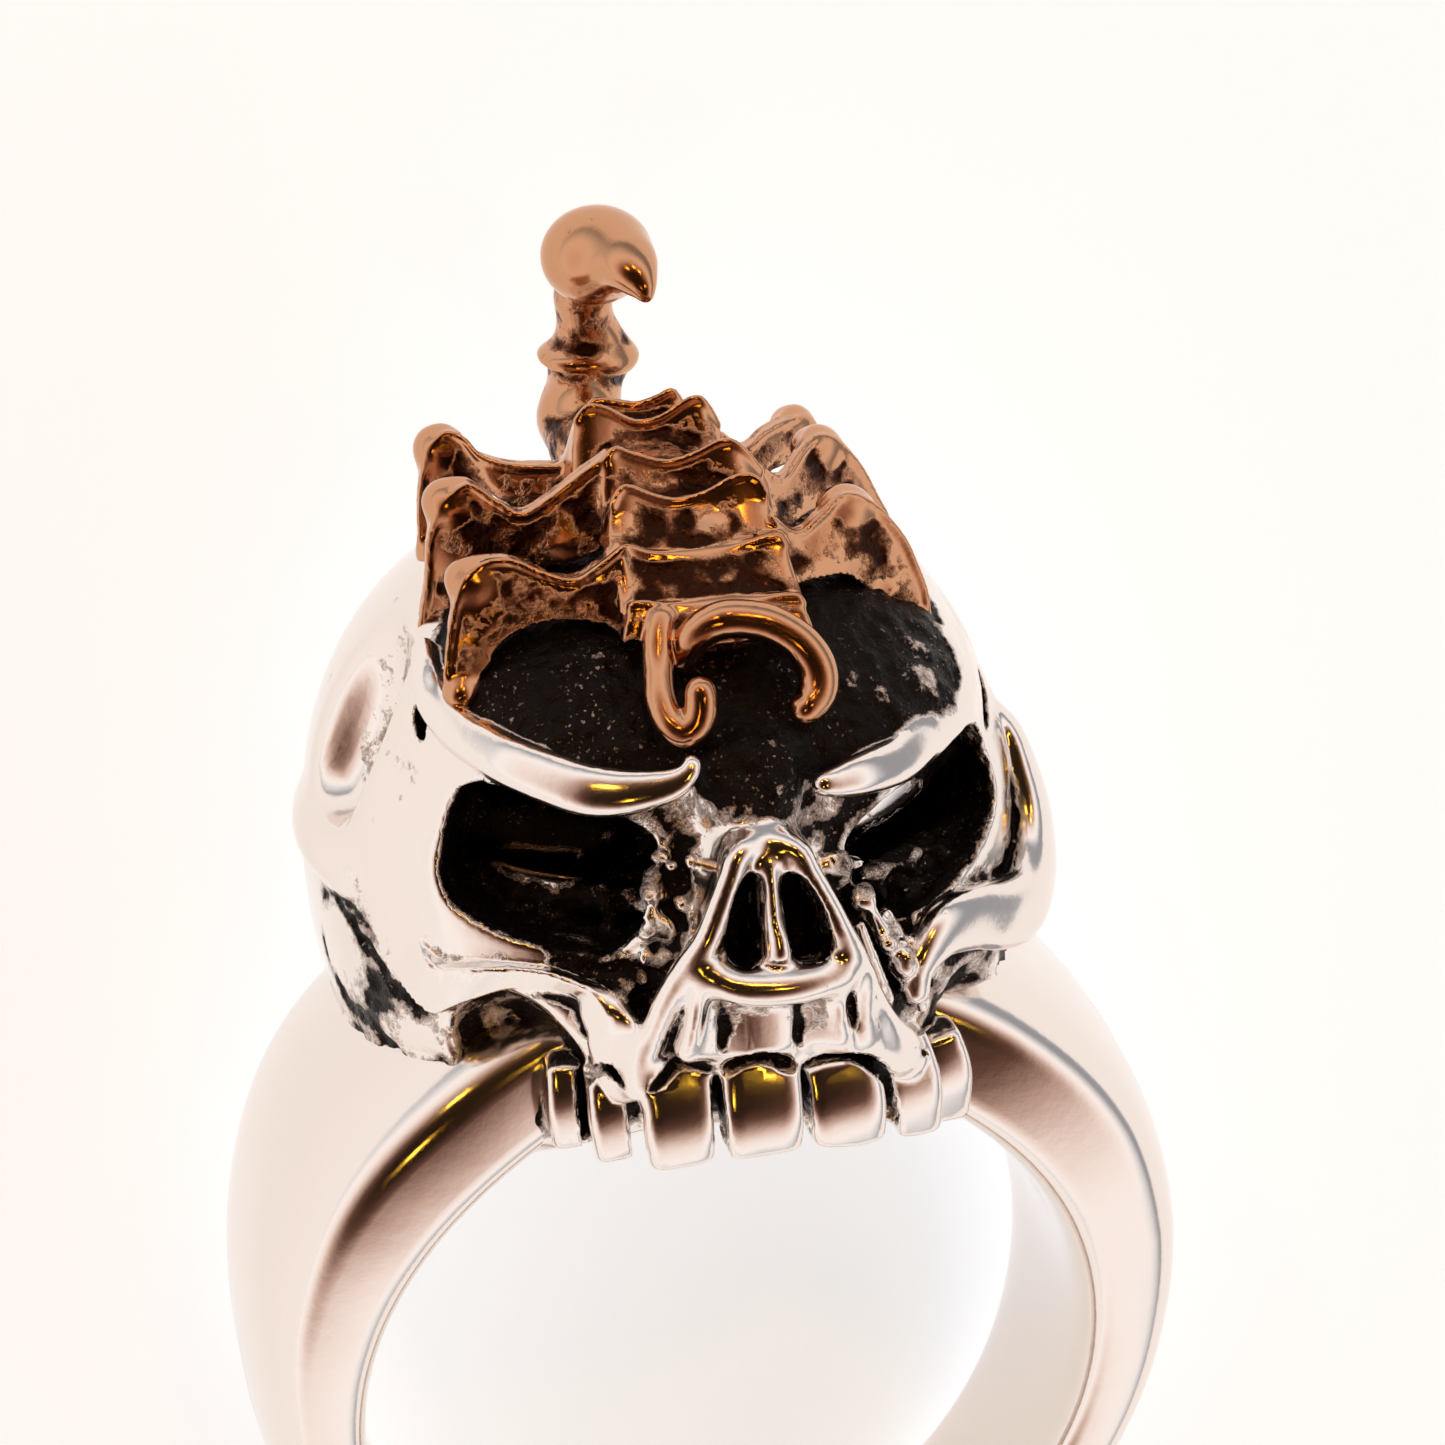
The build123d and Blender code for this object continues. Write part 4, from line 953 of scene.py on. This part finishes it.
SMOOTH = {"interpolation_type": "SMOOTHSTEP"}
MULTIPLY = {"operation": "MULTIPLY"}
MULTIPLY_ADD = {"operation": "MULTIPLY_ADD"}
PATTERNS = [
    # size in mm, detail and roughness of: the ragged edge of the oxide, raw specks and the fields they
    # lie in, pits, lumps, and the waves that polishing leaves. The pits and specks of a casting are
    # about 0.03 mm, too fine to show, so they are drawn about four times as coarse
    (0.22, 4.0, 0.65), (0.13, 2.0, 0.5), (1.6, 2.0, 0.5), (0.1, 2.0, 0.7), (0.3, 2.0, 0.5), (0.9, 4.0, 0.6),
]
# The ragged edge's noise times a number is added to the tarnish. The metal turns brown between two
# sums and oxide round a third, and specks keep most of their metal. The relief's lumps are so many
# times as high as its pits, and its whole height is in metres
RAGGED = 0.9
BROWN_FROM, BROWN_TO = 0.6, 0.98
OXIDE_AT = 0.95
SPECKS_KEEP = 0.8
LUMP_HEIGHT = 1.6
RELIEF_HEIGHT = 0.05 * MM


def cast_metal(name, polished, brown, oxide, shine, dull, dark_metal, soft):
    """A cast metal, polished on its high points and oxidised in its hollows. How oxidised a place is
    comes with each point; noise breaks up its edges and leaves bright specks in the dark. It goes from
    polished to brown to oxide, whose edge is soft by a value, and from shine to dull in roughness."""
    material = bpy.data.materials.new(name)
    material.use_nodes = True
    tree = material.node_tree
    tree.nodes.clear()
    place = node(tree, "TexCoord", out="Object")
    tarnish = node(tree, "Attribute", {"attribute_name": "tarnish"}, out="Fac")
    ragged, specks, fields, pits, lumps, waves = (
        node(tree, "TexNoise", Vector=place, Scale=1 / (size * MM), Detail=detail, Roughness=rough)
        for size, detail, rough in PATTERNS)
    broken = node(tree, "Math", MULTIPLY_ADD, _0=ragged, _1=RAGGED, _2=tarnish)
    dark = node(tree, "MapRange", SMOOTH, Value=broken, From_Min=OXIDE_AT - soft, From_Max=OXIDE_AT + soft)
    warm = node(tree, "MapRange", SMOOTH, Value=broken, From_Min=BROWN_FROM, From_Max=BROWN_TO)
    bright = node(tree, "MapRange", SMOOTH, Value=specks, From_Min=0.62, From_Max=0.70)
    here = node(tree, "MapRange", SMOOTH, Value=fields, From_Min=0.42, From_Max=0.62)
    bright = node(tree, "Math", MULTIPLY, _0=bright, _1=here)
    kept = node(tree, "Math", MULTIPLY_ADD, _0=bright, _1=-SPECKS_KEEP, _2=1.0)
    dark = node(tree, "Math", MULTIPLY, _0=dark, _1=kept)
    # A mix of colours has its share at input 0, its colours at 6 and 7 and its result at output 2
    base = node(tree, "Mix", {"data_type": "RGBA"}, out=2, _0=warm, _6=linear(polished), _7=linear(brown))
    base = node(tree, "Mix", {"data_type": "RGBA"}, out=2, _0=dark, _6=base, _7=linear(oxide))
    rough = node(tree, "MapRange", Value=dark, From_Min=0.0, From_Max=1.0, To_Min=shine, To_Max=dull)
    metal = node(tree, "MapRange", Value=dark, From_Min=0.0, From_Max=1.0, To_Min=1.0, To_Max=dark_metal)
    gloss = node(tree, "MapRange", Value=dark, From_Min=0.0, From_Max=1.0, To_Min=0.5, To_Max=0.12)
    relief = node(tree, "Math", MULTIPLY_ADD, _0=lumps, _1=LUMP_HEIGHT, _2=pits)
    relief = node(tree, "Math", MULTIPLY, _0=relief, _1=warm)
    bump = node(tree, "Bump", Strength=0.9, Distance=RELIEF_HEIGHT, Height=relief)
    bump = node(tree, "Bump", Strength=0.15, Distance=RELIEF_HEIGHT, Height=waves, Normal=bump)
    shader = node(tree, "BsdfPrincipled", Specular_IOR_Level=gloss, Base_Color=base, Metallic=metal,
                  Roughness=rough, Normal=bump)
    node(tree, "OutputMaterial", out=None, Surface=shader)
    return material


# Sterling silver, cast, oxidised and then polished: bright ridges over black pitted hollows; its brown is
# half-tarnished silver and, on the left frame's bevel, a painted brown reflection
silver = cast_metal("oxidised_sterling_silver", "#EFE5DF", "#A28D82", "#1B1513", shine=0.15, dull=0.4,
                    dark_metal=0.6, soft=0.07)
# Bronze, cast and polished on its rims: warm copper brown over dark brown pitted hollows
bronze = cast_metal("cast_bronze", "#CB9672", "#75432A", "#341A0E", shine=0.17, dull=0.32,
                    dark_metal=0.9, soft=0.16)

skull = build_skull()
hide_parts("skull_ring")

# The band stands a little proud of the band in the skull's clay, all of it polished
BAND_PROUD = 0.08
POLISHED = -1.0
band_points, band_faces = band_form(BAND_PROUD)
band = new_piece("band", band_points, band_faces, silver)
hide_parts("skull_ring")
set_values(band, "tarnish", np.full(len(band_points), POLISHED))

scorpion = build_scorpion()

# Floor: a pale lit sheet that the ring lies on
FLOOR_HALF = 1.5
floor_mesh = bpy.data.meshes.new("floor")
corners = [(x * FLOOR_HALF, y * FLOOR_HALF, 0) for x, y in ((-1, -1), (1, -1), (1, 1), (-1, 1))]
floor_mesh.from_pydata(corners, [], [(0, 1, 2, 3)])
floor = bpy.data.objects.new("floor", floor_mesh)
bpy.context.collection.objects.link(floor)
# Pale paper: matt, a cold white, and glowing a little so that it stays even and bright round the ring
paper = bpy.data.materials.new("pale_paper")
paper.use_nodes = True
sheet = paper.node_tree.nodes["Principled BSDF"]
sheet.inputs["Base Color"].default_value = linear("#D8E3EE")
sheet.inputs["Roughness"].default_value = 0.9
sheet.inputs["Emission Color"].default_value = linear("#FFFFFF")
sheet.inputs["Emission Strength"].default_value = 0.62
floor_mesh.materials.append(paper)

# Camera: the photo's direction, kept to the ring's drafting frame and turned with it
PHOTO_TURN = -13.0
PHOTO_RISE = 25.0
PHOTO_DISTANCE = 160.0
PHOTO_TARGET = (0.0, -3.0, 20.3)
PHOTO_LENS = 147.5
turn, rise = math.radians(PHOTO_TURN), math.radians(PHOTO_RISE)
to_camera = np.array([math.sin(turn) * math.cos(rise), -math.cos(turn) * math.cos(rise), math.sin(rise)])
to_right = np.array([math.cos(turn), math.sin(turn), 0.0])
axes = np.stack([to_right, np.cross(to_camera, to_right), to_camera]) @ DRAFT_AXES
lens = bpy.data.cameras.new("camera")
lens.lens = PHOTO_LENS
lens.clip_start = 0.005
camera = bpy.data.objects.new("camera", lens)
camera_place = at_rest(np.array(PHOTO_TARGET) + to_camera * PHOTO_DISTANCE)
camera.matrix_world = Matrix.Translation(Vector(camera_place)) @ Matrix(axes.T.tolist()).to_4x4()
bpy.context.collection.objects.link(camera)
bpy.context.scene.camera = camera
bpy.context.scene.view_settings.view_transform = "Standard"

# Light: a bright studio tent that darkens to brown round a place just under the camera, with a few
# small warm lamps. Places on it are given as right, up and towards the camera
TENT_MIDDLE = (0.0, -0.22, 0.98)
TENT = [
    # share of the way from the side of the tent (0) to its dark middle (1), colour
    (0.0, "#94979C"), (0.14, "#D2D2D4"), (0.32, "#FFFCFA"), (0.5, "#F3E6DF"), (0.64, "#C4A596"),
    (0.78, "#5E3E30"), (0.9, "#24150F"), (1.0, "#1A100B"),
]
LAMPS = [
    # right, up, towards the camera; how bright
    (0.3, 0.38, 0.87, 20.0), (-0.34, 0.3, 0.89, 20.0), (0.05, 0.52, 0.85, 16.0), (0.42, -0.12, 0.9, 16.0),
    (-0.12, -0.4, 0.9, 12.0),
]
LAMP_COLOUR = "#FFC53A"
LAMP_EDGE = (0.9989, 0.9995)
TENT_STRENGTH = 1.15
world = bpy.data.worlds.new("studio tent")
bpy.context.scene.world = world
world.use_nodes = True
sky = world.node_tree
sky.nodes.clear()
DOT = {"operation": "DOT_PRODUCT"}
direction = node(sky, "TexCoord", out="Generated")
dark_middle = Vector(unit(np.array(TENT_MIDDLE)) @ axes)
towards = node(sky, "VectorMath", DOT, out="Value", _0=direction, _1=dark_middle)
share = node(sky, "MapRange", Value=towards, From_Min=0.0, From_Max=1.0)
ramp = node(sky, "ValToRGB", out=None, _0=share)
while len(ramp.color_ramp.elements) < len(TENT):
    ramp.color_ramp.elements.new(0.5)
for stop, (position, colour) in zip(ramp.color_ramp.elements, TENT):
    stop.position, stop.color = position, linear(colour)
tent = ramp.outputs["Color"]
for *lamp_place, strength in LAMPS:
    lamp_place = Vector(unit(np.array(lamp_place)) @ axes)
    aim = node(sky, "VectorMath", DOT, out="Value", _0=direction, _1=lamp_place)
    spot = node(sky, "MapRange", SMOOTH, Value=aim, From_Min=LAMP_EDGE[0], From_Max=LAMP_EDGE[1])
    glow = node(sky, "VectorMath", {"operation": "SCALE"}, _0=linear(LAMP_COLOUR)[:3], Scale=spot)
    glow = node(sky, "VectorMath", {"operation": "SCALE"}, _0=glow, Scale=strength)
    tent = node(sky, "VectorMath", {"operation": "ADD"}, _0=tent, _1=glow)
light = node(sky, "Background", Color=tent, Strength=TENT_STRENGTH)
node(sky, "OutputWorld", out=None, Surface=light)
